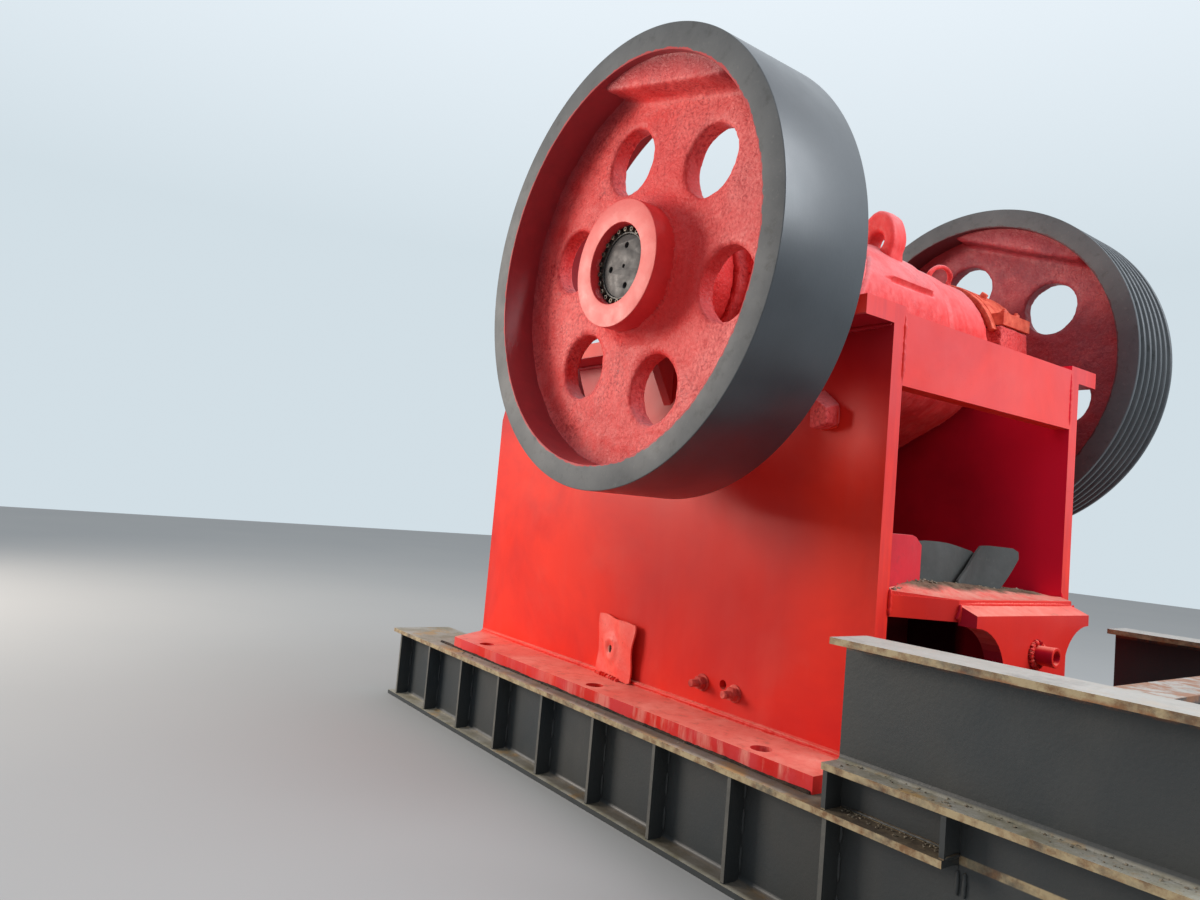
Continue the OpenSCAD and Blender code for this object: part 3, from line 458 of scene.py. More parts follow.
def jaw_steel():
    """Cast wear steel, dusty, with rust in the grooves."""
    g = Graph("jaw_steel")
    base = g.mix(g.grain(9, 6, 0.65, 0.3, 0.7), (0.20, 0.17, 0.15), (0.12, 0.105, 0.098))
    base = g.mix(g.grain(34, 6, 0.7, 0.55, 0.72, 0, 0.8), base, RUST)
    base = g.mix(g.times(g.upward(0.3, 0.9), g.grain(16, 5, 0.6, 0.3, 0.6)), base, DUST_GREY)
    g.bump(g.noise(90, 5, 0.65), 0.003, 0.8)
    return g.done(base, g.grain(25, 4, 0.6, 0.3, 0.7, 0.45, 0.75), metallic=0.35)


def chassis_paint():
    """Dark grey paint on rolled beams: dust on the flanges, ochre rust along their edges."""
    g = Graph("chassis_paint")
    cool, warm = (0.031, 0.039, 0.044), (0.046, 0.048, 0.046)
    base = g.mix(g.ramp(g.noise(1.7, 5, 0.6, distort=0.3), 0.36, 0.66), cool, warm)
    base = g.mix(g.ramp(g.noise(6.0, 6, 0.65, g.stretch((1, 1, 0.5))), 0.54, 0.74, 0, 0.35), base,
                 (0.070, 0.072, 0.069))
    high = g.ramp(g.z, BEAM_H + 0.2, BEAM_H + 0.25)
    dust = g.mix(g.grain(11, 7, 0.72, 0.36, 0.62), OLIVE, DUST_GREY)
    dust = g.mix(g.grain(7, 6, 0.7, 0.53, 0.64, 0, 0.85), dust, OCHRE)
    dust = g.mix(g.grain(120, 4, 0.7, 0.58, 0.70, 0, 0.6), dust, (0.075, 0.070, 0.050))
    dust = g.mix(g.times(high, 0.75), dust, g.mix(g.noise(40, 5, 0.7), (0.34, 0.33, 0.31),
                                                  (0.50, 0.48, 0.45)))
    ledge = g.times(g.ramp(g.x, UPPER_X0 - 0.08, UPPER_X0 - 0.01),
                    g.ramp(g.z, BEAM_H + 0.012, BEAM_H + 0.008))
    soil = g.mix(g.grain(26, 6, 0.7, 0.38, 0.62), (0.050, 0.032, 0.020), (0.13, 0.095, 0.055))
    dust = g.mix(g.times(ledge, g.grain(9, 5, 0.65, 0.30, 0.50, 0.35, 0.95)), dust, soil)
    foot_edge = hi("far_side_plate").y
    # painted shadow of the foot: the lower beams' top flange is near black short of its outer edge, more so
    # towards the rear
    along = g.times(g.ramp(g.size(g.y), foot_edge + 0.010, foot_edge - 0.004, 0.8, 1.0),
                    g.ramp(g.size(g.y), BEAM_OUT - 0.005, BEAM_OUT - 0.018))
    along = g.times(along, g.ramp(g.x, FRONT_X, 0.15, 0.15, 0.92), g.ramp(g.x, REAR_X + 0.02, REAR_X),
                    g.ramp(g.z, BEAM_H + 0.012, BEAM_H + 0.008))
    dust = g.mix(along, dust, (0.032, 0.022, 0.015))
    flat = g.times(g.upward(0.5, 0.9), g.grain(5, 6, 0.7, 0.24, 0.44, 0.55, 1.0))
    color = g.mix(flat, base, dust)
    # rust on the narrow edges of the flanges
    levels = (BEAM_H - BEAM_FT / 2, UPPER_Z + BEAM_FT / 2, UPPER_Z + BEAM_H - BEAM_FT / 2)
    edge = g.times(g.ramp(g.size(g.ny), 0.5, 0.8), g.either(*[g.band(g.z, z, BEAM_FT / 2) for z in levels]))
    at_end = g.either(*[g.band(g.x, x, 0.004) for x in (BEAM_X0, BEAM_X1, UPPER_X0)])
    ends = g.times(g.ramp(g.size(g.nx), 0.5, 0.8), at_end, g.grain(20, 5, 0.7, 0.42, 0.58, 0.15, 0.8))
    rusty = g.times(g.either(edge, ends), g.grain(13, 6, 0.7, 0.30, 0.50, 0.20, 0.95))
    tan = g.mix(g.grain(34, 5, 0.65, 0.36, 0.56), (0.20, 0.105, 0.045), (0.42, 0.33, 0.19))
    color = g.mix(rusty, color, tan)
    # thin rusty bleed under the upper beams' top flange
    bleed = g.band(g.z, UPPER_Z + BEAM_H - BEAM_FT - 0.004, 0.004, 0.006)
    color = g.mix(g.times(bleed, g.grain(22, 6, 0.7, 0.42, 0.56, 0, 0.8)), color, RUST)
    # pale worn edges of the stiffeners
    outer = g.times(g.ramp(g.size(g.ny), 0.5, 0.8), g.ramp(g.size(g.y), WEB_Y + 0.035, WEB_Y + 0.037))
    outer = g.times(outer, g.ramp(g.z, BEAM_FT + 0.001, BEAM_FT + 0.003),
                    g.ramp(g.z, BEAM_H - BEAM_FT - 0.001, BEAM_H - BEAM_FT - 0.003))
    color = g.mix(g.times(outer, g.grain(9, 6, 0.7, 0.36, 0.6, 0.35, 0.9)), color, (0.13, 0.125, 0.11))
    rough = g.math("ADD", g.grain(8, 5, 0.6, 0.3, 0.7, 0.40, 0.54), g.times(flat, 0.35))
    g.bump(g.noise(2.4, 3, 0.5), 0.004, 0.4)
    g.bump(g.noise(130, 5, 0.65), 0.0009, 0.5)
    return g.done(color, rough, coat=0.03, coat_rough=0.3, specular=0.4)


def loose_sheet():
    g = Graph("loose_sheet")
    base = g.mix(g.grain(11, 6, 0.65, 0.3, 0.7), (0.040, 0.041, 0.038), (0.066, 0.066, 0.062))
    # painted shade: darker towards +Y, over the right sheet
    base = g.mix(g.ramp(g.y, -0.04, 0.12, 0, 0.35), base, (0.026, 0.028, 0.027))
    base = g.mix(g.grain(60, 5, 0.65, 0.60, 0.74, 0, 0.3), base, (0.11, 0.105, 0.095))
    g.bump(g.noise(70, 5, 0.6), 0.001, 0.5)
    return g.done(base, g.grain(20, 4, 0.6, 0.3, 0.7, 0.65, 0.85), specular=0.3)


def old_paint(name, dark, light, spray):
    """Mottled paint in two tones with a third one sprayed over it."""
    g = Graph(name)
    base = g.mix(g.grain(40, 5, 0.65, 0.35, 0.65), dark, light)
    base = g.mix(g.grain(18, 5, 0.65, 0.56, 0.66, 0, 0.8), base, spray)
    g.bump(g.noise(120, 5, 0.6), 0.001, 0.6)
    return g.done(base, g.grain(30, 4, 0.6, 0.3, 0.7, 0.5, 0.75), specular=0.3)


def patch_paint():
    """Chalky brushed red on the bent sheet."""
    g = Graph("patch_paint")
    base = g.mix(g.ramp(g.noise(14, 6, 0.65, distort=0.6), 0.36, 0.64), (0.80, 0.050, 0.034),
                 (0.82, 0.125, 0.095))
    base = g.mix(g.grain(60, 5, 0.65, 0.60, 0.70, 0, 0.6), base, (0.48, 0.05, 0.035))
    near = g.math("SQRT", g.math("ADD", g.math("POWER", g.math("SUBTRACT", g.x, HOLE_X), 2.0),
                                 g.math("POWER", g.math("SUBTRACT", g.z, HOLE_Z), 2.0)))
    base = g.mix(g.ramp(near, 0.013, 0.009, 0, 0.8), base, (0.50, 0.30, 0.24))
    g.bump(g.noise(20, 5, 0.6), 0.004, 0.6)
    g.bump(g.noise(120, 4, 0.6), 0.0008, 0.6)
    return g.done(base, g.grain(30, 5, 0.6, 0.3, 0.7, 0.42, 0.6), specular=0.25)


def shelf_dirt():
    """Heaped dirt on the shelf: brown and stony behind, sprayed pink along the front edge."""
    g = Graph("shelf_dirt")
    edge = g.math("ADD", g.times(g.math("SUBTRACT", IN_Y, g.size(g.y)), SHELF_SLOPE), REAR_X)
    depth = g.math("SUBTRACT", g.math("MINIMUM", edge, BRACKET_X), g.x)
    depth = g.math("ADD", depth, g.grain(16, 5, 0.65, 0.2, 0.8, -0.022, 0.022))
    dirt = g.mix(g.grain(30, 6, 0.7, 0.36, 0.62), (0.075, 0.040, 0.026), (0.20, 0.13, 0.085))
    dirt = g.mix(g.grain(130, 4, 0.7, 0.60, 0.70, 0, 0.6), dirt, (0.34, 0.27, 0.20))
    pink = g.mix(g.grain(24, 6, 0.7, 0.38, 0.62), (0.72, 0.13, 0.10), (0.70, 0.26, 0.20))
    pink = g.mix(g.grain(60, 5, 0.7, 0.60, 0.70, 0, 0.5), pink, (0.36, 0.16, 0.11))
    front = g.ramp(g.size(g.nx), 0.5, 0.8)
    color = g.mix(g.ramp(depth, 0.085, 0.060), dirt, pink)
    color = g.mix(front, color, g.mix(g.noise(12, 5, 0.6), RED, CRIMSON))
    g.bump(g.noise(150, 5, 0.7), 0.003, 0.9)
    return g.done(color, 0.8, specular=0.2)


def seam_shadow_dirt():
    """Near-black dirt and painted shadow in the gap under the foot."""
    g = Graph("seam_shadow_dirt")
    base = g.mix(g.grain(26, 6, 0.7, 0.40, 0.62), (0.012, 0.009, 0.008), (0.060, 0.036, 0.024))
    g.bump(g.noise(90, 5, 0.7), 0.003, 0.8)
    return g.done(base, 0.85, specular=0.2)


def crumb_dirt():
    g = Graph("crumb_dirt")
    return g.done(g.mix(g.grain(90, 4, 0.6, 0.35, 0.65), (0.27, 0.23, 0.17), (0.12, 0.095, 0.065)), 0.9)


def floor_paint():
    g = Graph("floor")
    return g.done(g.mix(g.noise(0.6, 3, 0.5), (0.315, 0.32, 0.32), (0.345, 0.345, 0.34)), 1.0, specular=0.0)


# ---------------- mesh helpers
def add_piece(name, me, mat, body, nodes=None, slot=None, smooth=35):
    """Links a finished mesh as a piece of the part: it rides on a body and may stand for CAD nodes."""
    me.materials.clear()
    me.materials.append(mat)
    if smooth:
        me.polygons.foreach_set("use_smooth", [True] * len(me.polygons))
        if smooth < 180:
            me.set_sharp_from_angle(angle=math.radians(smooth))
    me.update()
    o = bpy.data.objects.new(name, me)
    scene.collection.objects.link(o)
    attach(o, body)
    if nodes:
        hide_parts(*nodes)
    return o


def mesh_of(bm, name):
    me = bpy.data.meshes.new(name)
    bmesh.ops.recalc_face_normals(bm, faces=bm.faces)
    bm.to_mesh(me)
    bm.free()
    return me


def add_made(name, bm, *rest, **named):
    """Add the mesh of bm as a piece."""
    return add_piece(name, mesh_of(bm, name), *rest, **named)


def bevel(o, width, segments=2, angle=32):
    m = o.modifiers.new("bevel", "BEVEL")
    m.width = width
    m.segments = segments
    m.limit_method = "ANGLE"
    m.angle_limit = math.radians(angle)


def bake(o):
    """The object's mesh with its modifiers applied, as a new mesh."""
    deps = bpy.context.evaluated_depsgraph_get()
    return bpy.data.meshes.new_from_object(o.evaluated_get(deps), depsgraph=deps)


def skin(bm, loops, closed=False):
    """Joins loops of equal length into a tube: a ring if closed, else capped at both ends."""
    n = len(loops[0])
    pairs = list(zip(loops, loops[1:])) + ([(loops[-1], loops[0])] if closed else [])
    for a, b in pairs:
        for k in range(n):
            bm.faces.new((a[k], a[(k + 1) % n], b[(k + 1) % n], b[k]))
    if not closed:
        bm.faces.new(loops[0][::-1])
        bm.faces.new(loops[-1])


def lathe(bm, profile, turns=192, base=None):
    """Turns a closed profile of (radius, height) points: about the shaft, or about the Z axis of base."""
    loops = []
    for r, h in profile:
        ring = []
        for k in range(turns):
            c, s = math.cos(2 * math.pi * k / turns), math.sin(2 * math.pi * k / turns)
            p = base @ Vector((r * c, r * s, h)) if base else Vector((SHAFT.x + r * c, h, SHAFT.z + r * s))
            ring.append(bm.verts.new(p))
        loops.append(ring)
    skin(bm, loops, closed=True)


def rounded(points, r, steps=3):
    """Rounds the corners of a closed outline with small arcs."""
    out = []
    n = len(points)
    for i in range(n):
        p, a, b = Vector(points[i]), Vector(points[i - 1]), Vector(points[(i + 1) % n])
        u, v = (a - p), (b - p)
        d = min(r, u.length * 0.45, v.length * 0.45)
        p0, p1 = p + u.normalized() * d, p + v.normalized() * d
        for s in range(steps + 1):
            t = s / steps
            out.append(tuple((1 - t) ** 2 * p0 + 2 * t * (1 - t) * p + t * t * p1))
    return out


def grab(nodes):
    """A copy of CAD meshes joined in one bmesh."""
    bm = bmesh.new()
    for n in nodes:
        bm.from_mesh(NODES[n].data)
    return bm


def remesh(me, voxel, smooth=6):
    """Voxel remesh and smoothing: turns sharp CAD corners into the soft ones of a casting."""
    o = bpy.data.objects.new("temp", me)
    scene.collection.objects.link(o)
    m = o.modifiers.new("remesh", "REMESH")
    m.mode = "VOXEL"
    m.voxel_size = voxel
    m.adaptivity = 0
    s = o.modifiers.new("smooth", "SMOOTH")
    s.factor = 0.5
    s.iterations = smooth
    out = bake(o)
    bpy.data.objects.remove(o)
    return out


def coords_of(me):
    p = np.empty(len(me.vertices) * 3)
    me.vertices.foreach_get("co", p)
    return p.reshape(-1, 3)


def normals_of(me):
    n = np.empty(len(me.vertices) * 3)
    me.vertex_normals.foreach_get("vector", n)
    return n.reshape(-1, 3)


def set_coords(me, p):
    me.vertices.foreach_set("co", p.ravel())
    me.update()


def roughen(me, layers):
    """Moves vertices along their normals by layers of (bump width, height, seed)."""
    p, n = coords_of(me), normals_of(me)
    d = sum(h * value_noise(p, w, s) for w, h, s in layers)
    set_coords(me, p + n * d[:, None])


def push_radius(me, center, pick, r):
    """Moves the vertices that pick(radius, y) chooses to radius r about an axis along Y."""
    p = coords_of(me)
    d = p - np.array([center.x, 0, center.z])
    rad = np.hypot(d[:, 0], d[:, 2])
    near = pick(rad, p[:, 1])
    k = r / np.maximum(rad, 1e-6)
    p[near, 0] = center.x + d[near, 0] * k[near]
    p[near, 2] = center.z + d[near, 2] * k[near]
    set_coords(me, p)


def tube(bm, path, radii, sides=8, up=Vector((0, 0, 1))):
    """A closed tube along a path, with one radius for each point."""
    loops = []
    for i, p in enumerate(path):
        t = (path[min(i + 1, len(path) - 1)] - path[max(i - 1, 0)]).normalized()
        u = up.cross(t).normalized()
        v = t.cross(u)
        loops.append([bm.verts.new(p + (u * math.cos(a) + v * math.sin(a)) * radii[i])
                      for a in (2 * math.pi * k / sides for k in range(sides))])
    skin(bm, loops)


def weld(bm, a, b, size, pitch=0.006):
    """A hand-laid weld bead from a to b with ripples and a wandering width."""
    a, b = Vector(a), Vector(b)
    n = max(6, int((b - a).length / pitch))
    t = (b - a).normalized()
    up = Vector((0, 0, 1)) if abs(t.z) < 0.9 else Vector((1, 0, 0))
    side = up.cross(t).normalized()
    path, radii = [], []
    for i in range(n + 1):
        w = rng.uniform(-1, 1, 3)
        end = min(1.0, 4 * i / n + 0.35, 4 * (n - i) / n + 0.35)
        path.append(a + (b - a) * (i / n) + (side * w[0] + up * w[1]) * size * 0.10)
        radii.append(size * end * (0.86 + 0.14 * (i % 2) + 0.12 * w[2]))
    tube(bm, path, radii, 8, up)


def facing(at, axis):
    """A matrix that stands at a point with its Z along an axis."""
    return Matrix.Translation(at) @ Vector(axis).to_track_quat("Z", "Y").to_matrix().to_4x4()


def washer(bm, base, r, r_in, z0, z1, sides=32):
    c = (z1 - z0) * 0.3
    lathe(bm, [(r_in, z0), (r, z0), (r, z1 - c), (r - c, z1), (r_in, z1)], sides, base)


def nut(bm, base, across, z0, z1):
    """Hexagon with chamfered corners at its top."""
    turns = 24
    loops = []
    for level, limit in ((z0, 9.0), (z1 - across * 0.07, 9.0), (z1, 0.475)):
        ring = []
        for k in range(turns):
            a = 2 * math.pi * k / turns
            to_flat = (a % (math.pi / 3)) - math.pi / 6
            r = min(across / 2 / math.cos(to_flat), across * limit)
            ring.append(bm.verts.new(base @ Vector((r * math.cos(a), r * math.sin(a), level))))
        loops.append(ring)
    skin(bm, loops)


def thread(bm, base, r, z0, z1, pitch=0.0035, sides=20):
    """A threaded stud end as a stack of ridges."""
    n = max(2, int((z1 - z0) / pitch))
    loops = []
    for i in range(2 * n + 1):
        z = z0 + (z1 - z0) * i / (2 * n)
        rr = r * (0.80 if i == 2 * n else 1.0 if i % 2 else 0.87)
        loops.append([bm.verts.new(base @ Vector((rr * math.cos(a), rr * math.sin(a), z)))
                      for a in (2 * math.pi * k / sides for k in range(sides))])
    skin(bm, loops)


def bolt(bm, at, axis, across, height, stud=0.0):
    base = facing(at, axis)
    t = across * 0.10
    washer(bm, base, across * 0.70, across * 0.10, -0.0005, t)
    nut(bm, base, across, t - 0.0005, t + height)
    if stud:
        thread(bm, base, across * 0.31, t + height - 0.002, t + height + stud)


def socket_screw(bm, base, r, h):
    """Cap screw with a hexagon socket."""
    rim = [(r * 0.45, h * 0.35), (r * 0.5, h), (r * 0.86, h), (r, h * 0.86), (r, -0.001), (r * 0.45, -0.001)]
    lathe(bm, rim, 12, base)
    core = [[bm.verts.new(base @ Vector((r * 0.46 * math.cos(a), r * 0.46 * math.sin(a), z)))
             for a in (2 * math.pi * k / 6 for k in range(6))] for z in (0.0, h * 0.38)]
    skin(bm, core)


def crumbs(bm, count, size, place):
    """Small broken stones; place(u, v) gives a point for two numbers in 0..1."""
    for _ in range(count):
        at = Vector(place(*rng.uniform(0, 1, 2)))
        s = size * rng.uniform(0.35, 1.0) ** 1.5
        shape = Matrix.Diagonal((s, s * rng.uniform(0.6, 1), s * rng.uniform(0.35, 0.7), 1))
        m = Matrix.Translation(at) @ Matrix.Rotation(rng.uniform(0, 6.28), 4, "Z") @ shape
        out = bmesh.ops.create_icosphere(bm, subdivisions=1, radius=1.0, matrix=m)
        for v in out["verts"]:
            v.co += Vector(rng.uniform(-0.22, 0.22, 3)) * s


# ---------------- camera, floor, light
def add_camera():
    data = bpy.data.cameras.new("camera")
    data.sensor_width = 36.0
    data.lens = 25.21
    cam = bpy.data.objects.new("camera", data)
    rot = Matrix.Rotation(0.9393, 3, "Z") @ Matrix.Rotation(-0.0874, 3, "Y") @ Matrix.Rotation(1.6397, 3, "X")
    cam.matrix_world = Matrix.Translation((1.9641, -1.9945, 0.7822)) @ rot.to_4x4()
    scene.collection.objects.link(cam)
    scene.camera = cam


def add_floor():
    me = bpy.data.meshes.new("floor")
    s = 14.0
    me.from_pydata([(-s, -s, 0), (s, -s, 0), (s, s, 0), (-s, s, 0)], [], [(0, 1, 2, 3)])
    o = bpy.data.objects.new("floor", me)
    me.materials.append(floor_paint())
    scene.collection.objects.link(o)


def add_light(name, loc, target, size, power, color):
    d = bpy.data.lights.new(name, "AREA")
    d.size = size
    d.energy = power
    d.color = color
    o = bpy.data.objects.new(name, d)
    o.location = loc
    o.rotation_euler = (Vector(target) - Vector(loc)).to_track_quat("-Z", "Y").to_euler()
    scene.collection.objects.link(o)


def add_world():
    """Pale sky: brightest overhead, dimmer low down behind the camera."""
    world = bpy.data.worlds.new("world")
    scene.world = world
    world.use_nodes = True
    t = world.node_tree

    def node(kind, **props):
        n = t.nodes.new(kind)
        for k, v in props.items():
            setattr(n, k, v)
        return n

    def mix(fac, a, b):
        n = node("ShaderNodeMix", data_type="RGBA")
        t.links.new(fac, n.inputs["Factor"])
        for socket, v in ((n.inputs[6], a), (n.inputs[7], b)):
            if isinstance(v, tuple):
                socket.default_value = (*v, 1)
            else:
                t.links.new(v, socket)
        return n.outputs[2]

    def ramp(value, a, b):
        n = node("ShaderNodeMapRange")
        t.links.new(value, n.inputs[0])
        n.inputs["From Min"].default_value = a
        n.inputs["From Max"].default_value = b
        return n.outputs[0]

    coord = node("ShaderNodeTexCoord").outputs["Generated"]
    sep = node("ShaderNodeSeparateXYZ")
    t.links.new(coord, sep.inputs[0])
    behind = node("ShaderNodeVectorMath", operation="DOT_PRODUCT")
    t.links.new(coord, behind.inputs[0])
    behind.inputs[1].default_value = (0.55, -0.83, 0)
    low = mix(ramp(behind.outputs["Value"], -0.3, 0.6), (0.645, 0.735, 0.79), (0.215, 0.225, 0.245))
    sky = mix(ramp(sep.outputs[2], 0.28, 0.9), low, (1.05, 1.11, 1.18))
    t.links.new(sky, t.nodes["Background"].inputs[0])


scene.view_settings.view_transform = "Standard"
add_camera()
add_floor()
add_world()
add_light("key", (-4.2, -4.6, 2.2), (-0.2, -0.4, 0.5), 2.2, 340, (1.0, 0.88, 0.77))
add_light("sky", (5.2, 1.4, 4.6), (0.4, 0.0, 0.8), 4.0, 390, (0.88, 0.94, 1.0))

M = {
    "plate": red_plate(),
    "inside": red_inside_shaded(),
    "cast": red_cast("red_cast", 0.35),
    "barrel": red_cast("red_barrel", 0.35, 0, 0.22),
    "wheel": red_cast("red_wheel", 0.45, 0, 1.0, True),
    # painted shade: the far wheel and its hub get a darker, duller copy of the wheel paint
    "far_wheel_shaded": red_cast("red_far_wheel_shaded", 0.25, 0.72, 0.8, True),
    "hub": hub_paint(),
    "cap": old_paint("cap_paint", (0.56, 0.055, 0.030), (0.80, 0.15, 0.085), (0.72, 0.07, 0.045)),
    "stud": old_paint("stud_paint", (0.34, 0.022, 0.020), (0.62, 0.075, 0.055), (0.74, 0.16, 0.12)),
    "steel": bare_steel(),
    "dark": dark_steel("dark_steel", (0.016, 0.016, 0.015), (0.040, 0.038, 0.034)),
    "screw": dark_steel("screw_steel", (0.060, 0.050, 0.038), (0.16, 0.13, 0.09)),
    "jaw": jaw_steel(),
    "chassis": chassis_paint(),
    "sheet": loose_sheet(),
    "rim": rim_iron(),
    "gap": old_paint("ring_paint", (0.10, 0.022, 0.014), (0.30, 0.075, 0.040), (0.50, 0.05, 0.03)),
    "patch": patch_paint(),
    "bed": shelf_dirt(),
    "seam": seam_shadow_dirt(),
    "crumbs": crumb_dirt(),
}

# ---------------- CAD nodes that stay: finish and worn edges
STAY = (
    ("plate", 0.0022, ("near_side_plate", "far_side_plate", "rear_cross_plate", "rod_bracket", "rear_shelf")),
    ("inside", 0.0020, ("front_wall", "toggle_beam")),
    ("cap", 0.0040, ("bearing_caps",)),
    ("gap", 0.0020, ("pitman_rings",)),
    ("jaw", 0.0050, ("fixed_jaw", "swing_jaw", "jaw_key", "jaw_clamp", "cheek_plates")),
    ("steel", 0.0015, ("toggle_plate",)),
    ("chassis", 0.0012, ("near_beam", "far_beam", "cross_members", "near_upper_beam", "far_upper_beam",
                         "risers",
                         "upper_cross_member")),
)
for key, width, names in STAY:
    for n in names:
        o = NODES[n]
        o.data.materials.clear()
        o.data.materials.append(M[key])
        bevel(o, width)


# ---------------- flywheels
# depth of a casting under its turned rim and hub; length and width of the ring at the hub's end
UNDER, HUB_REACH, HUB_NEAR = 0.006, 0.052, 0.012
# the web's edge moves out under the rim: over this width, by this much, up to this far past its inside
RIM_BLEND, RIM_SHIFT, RIM_LAP, HOLE_BLEND = 0.016, 0.011, 0.008, 0.010


def wheel_casting(node, name, seed):
    """Web, fillets and counterweight as one rough casting; its rim and hub shrink under the turned ones."""
    me = remesh(mesh_of(grab([node]), name), 0.0073, 7)
    p = coords_of(me)
    off = p[:, (0, 2)] - np.array([SHAFT.x, SHAFT.z])
    rad = np.hypot(off[:, 0], off[:, 1])
    t = np.clip((rad - RIM_IN_R + RIM_BLEND) / RIM_BLEND, 0, 1)
    new = np.minimum(rad + RIM_SHIFT * t * t * (3 - 2 * t), RIM_IN_R + RIM_LAP)
    p[:, 0], p[:, 2] = SHAFT.x + off[:, 0] / rad * new, SHAFT.z + off[:, 1] / rad * new
    width = GROOVED_W if node == "grooved_flywheel" else PLAIN_W
    covered = new > RIM_IN_R - 0.001
    p[covered, 1] = np.sign(p[covered, 1]) * np.clip(np.abs(p[covered, 1]), RIM0 + UNDER,
                                                     RIM0 + width - UNDER)
    # the six web holes are round
    for box in WEB_HOLES[node]:
        hole = (box[0] + box[1])[[0, 2]] / 2
        off = p[:, (0, 2)] - hole
        rad = np.maximum(np.hypot(off[:, 0], off[:, 1]), 1e-6)
        t = np.clip(np.abs(rad - WEB_HOLE_R) / HOLE_BLEND, 0, 1)
        new = WEB_HOLE_R + (rad - WEB_HOLE_R) * t ** 0.7
        p[:, 0], p[:, 2] = hole[0] + off[:, 0] / rad * new, hole[1] + off[:, 1] / rad * new
    set_coords(me, p)
    # the turned hub covers this end of the casting's hub
    end = HUB_FACE[1 if node == "grooved_flywheel" else -1]
    push_radius(me, SHAFT, lambda r, y: (np.abs(y) > end - HUB_REACH) & (np.abs(r - HUB_R) < HUB_NEAR),
                HUB_R - UNDER)
    p = coords_of(me)
    under = np.hypot(p[:, 0] - SHAFT.x, p[:, 2] - SHAFT.z) < HUB_R + HUB_NEAR
    p[under, 1] = np.sign(p[under, 1]) * np.minimum(np.abs(p[under, 1]), end - UNDER)
    set_coords(me, p)
    roughen(me, [(0.075, 0.0022, seed), (0.024, 0.0014, seed + 1), (0.0105, 0.0010, seed + 2)])
    return add_piece(name, me, M["far_wheel_shaded" if node == "grooved_flywheel" else "wheel"], "rotor", [node],
                     "wheel_iron", smooth=180)


def turned(name, profile, y_face, mat, turns):
    """A turned ring on the shaft's axis; the profile's heights run inwards from the wheel's outer face."""
    s = 1 if y_face > 0 else -1
    bm = bmesh.new()
    lathe(bm, [(r, y_face - s * y) for r, y in rounded(profile, 0.003)], turns)
    return add_piece(name, mesh_of(bm, name), mat, "rotor", None, "wheel_iron", smooth=30)


def groove_line():
    out = []
    for i in range(GROOVES):
        c = 0.007 + (i + 0.5) * GROOVE_PITCH
        out += [(WHEEL_R, c - GROOVE_PITCH * 0.36), (WHEEL_R - GROOVE_DEEP, c - GROOVE_PITCH * 0.2),
                (WHEEL_R - GROOVE_DEEP, c + GROOVE_PITCH * 0.2), (WHEEL_R, c + GROOVE_PITCH * 0.36)]
    return out


for node, side, width, grooved, seed in (("plain_flywheel", -1, PLAIN_W, False, 11),
                                         ("grooved_flywheel", 1, GROOVED_W, True, 31)):
    face = side * (RIM0 + width)
    wheel_casting(node, node + "_casting", seed)
    turned(node + "_rim", [(RIM_IN_R, 0.0), (WHEEL_R, 0.0)] + (groove_line() if grooved else [])
           + [(WHEEL_R, width), (RIM_IN_R, width)], face, M["rim"], 256)
    turned(node + "_hub", [(HUB_BORE_R, HUB_RECESS), (HUB_R + 0.001, HUB_RECESS), (HUB_R + 0.001, 0.092),
                           (HUB_BORE_R, 0.092)], face, M["far_wheel_shaded" if grooved else "hub"], 160)

# clamping rings and their screws in the hub bores
bm, heads = bmesh.new(), bmesh.new()
for s in (-1, 1):
    for y0, y1 in ((RING_LOW[s], HUB_FACE[s] - RING_IN),):
        lathe(bm, [(r, s * y) for r, y in ((0.0757, y0), (0.0962, y0), (0.0962, y1 - 0.002), (0.0940, y1),
                                           (0.0935, y1), (0.0930, y1 - 0.003),
                                           (0.0802, y1 - 0.003), (0.0798, y1), (0.0770, y1),
                                           (0.0757, y1 - 0.002))], 96)
        for k in range(22):
            a = 2 * math.pi * (k + 0.3) / 22
            for y, way in ((y1 - 0.0030, s), (RIM0 + 0.020, -s)):
                at = Vector((SHAFT.x + 0.0866 * math.cos(a), s * y, SHAFT.z + 0.0866 * math.sin(a)))
                socket_screw(heads, facing(at, (0, way, 0)), 0.0062, 0.0085)
add_made("clamp_rings", bm, M["dark"], "rotor", ["locking_rings"], "bare_steel", smooth=30)
add_made("ring_screws", heads, M["screw"], "rotor", None, "bare_steel", smooth=30)


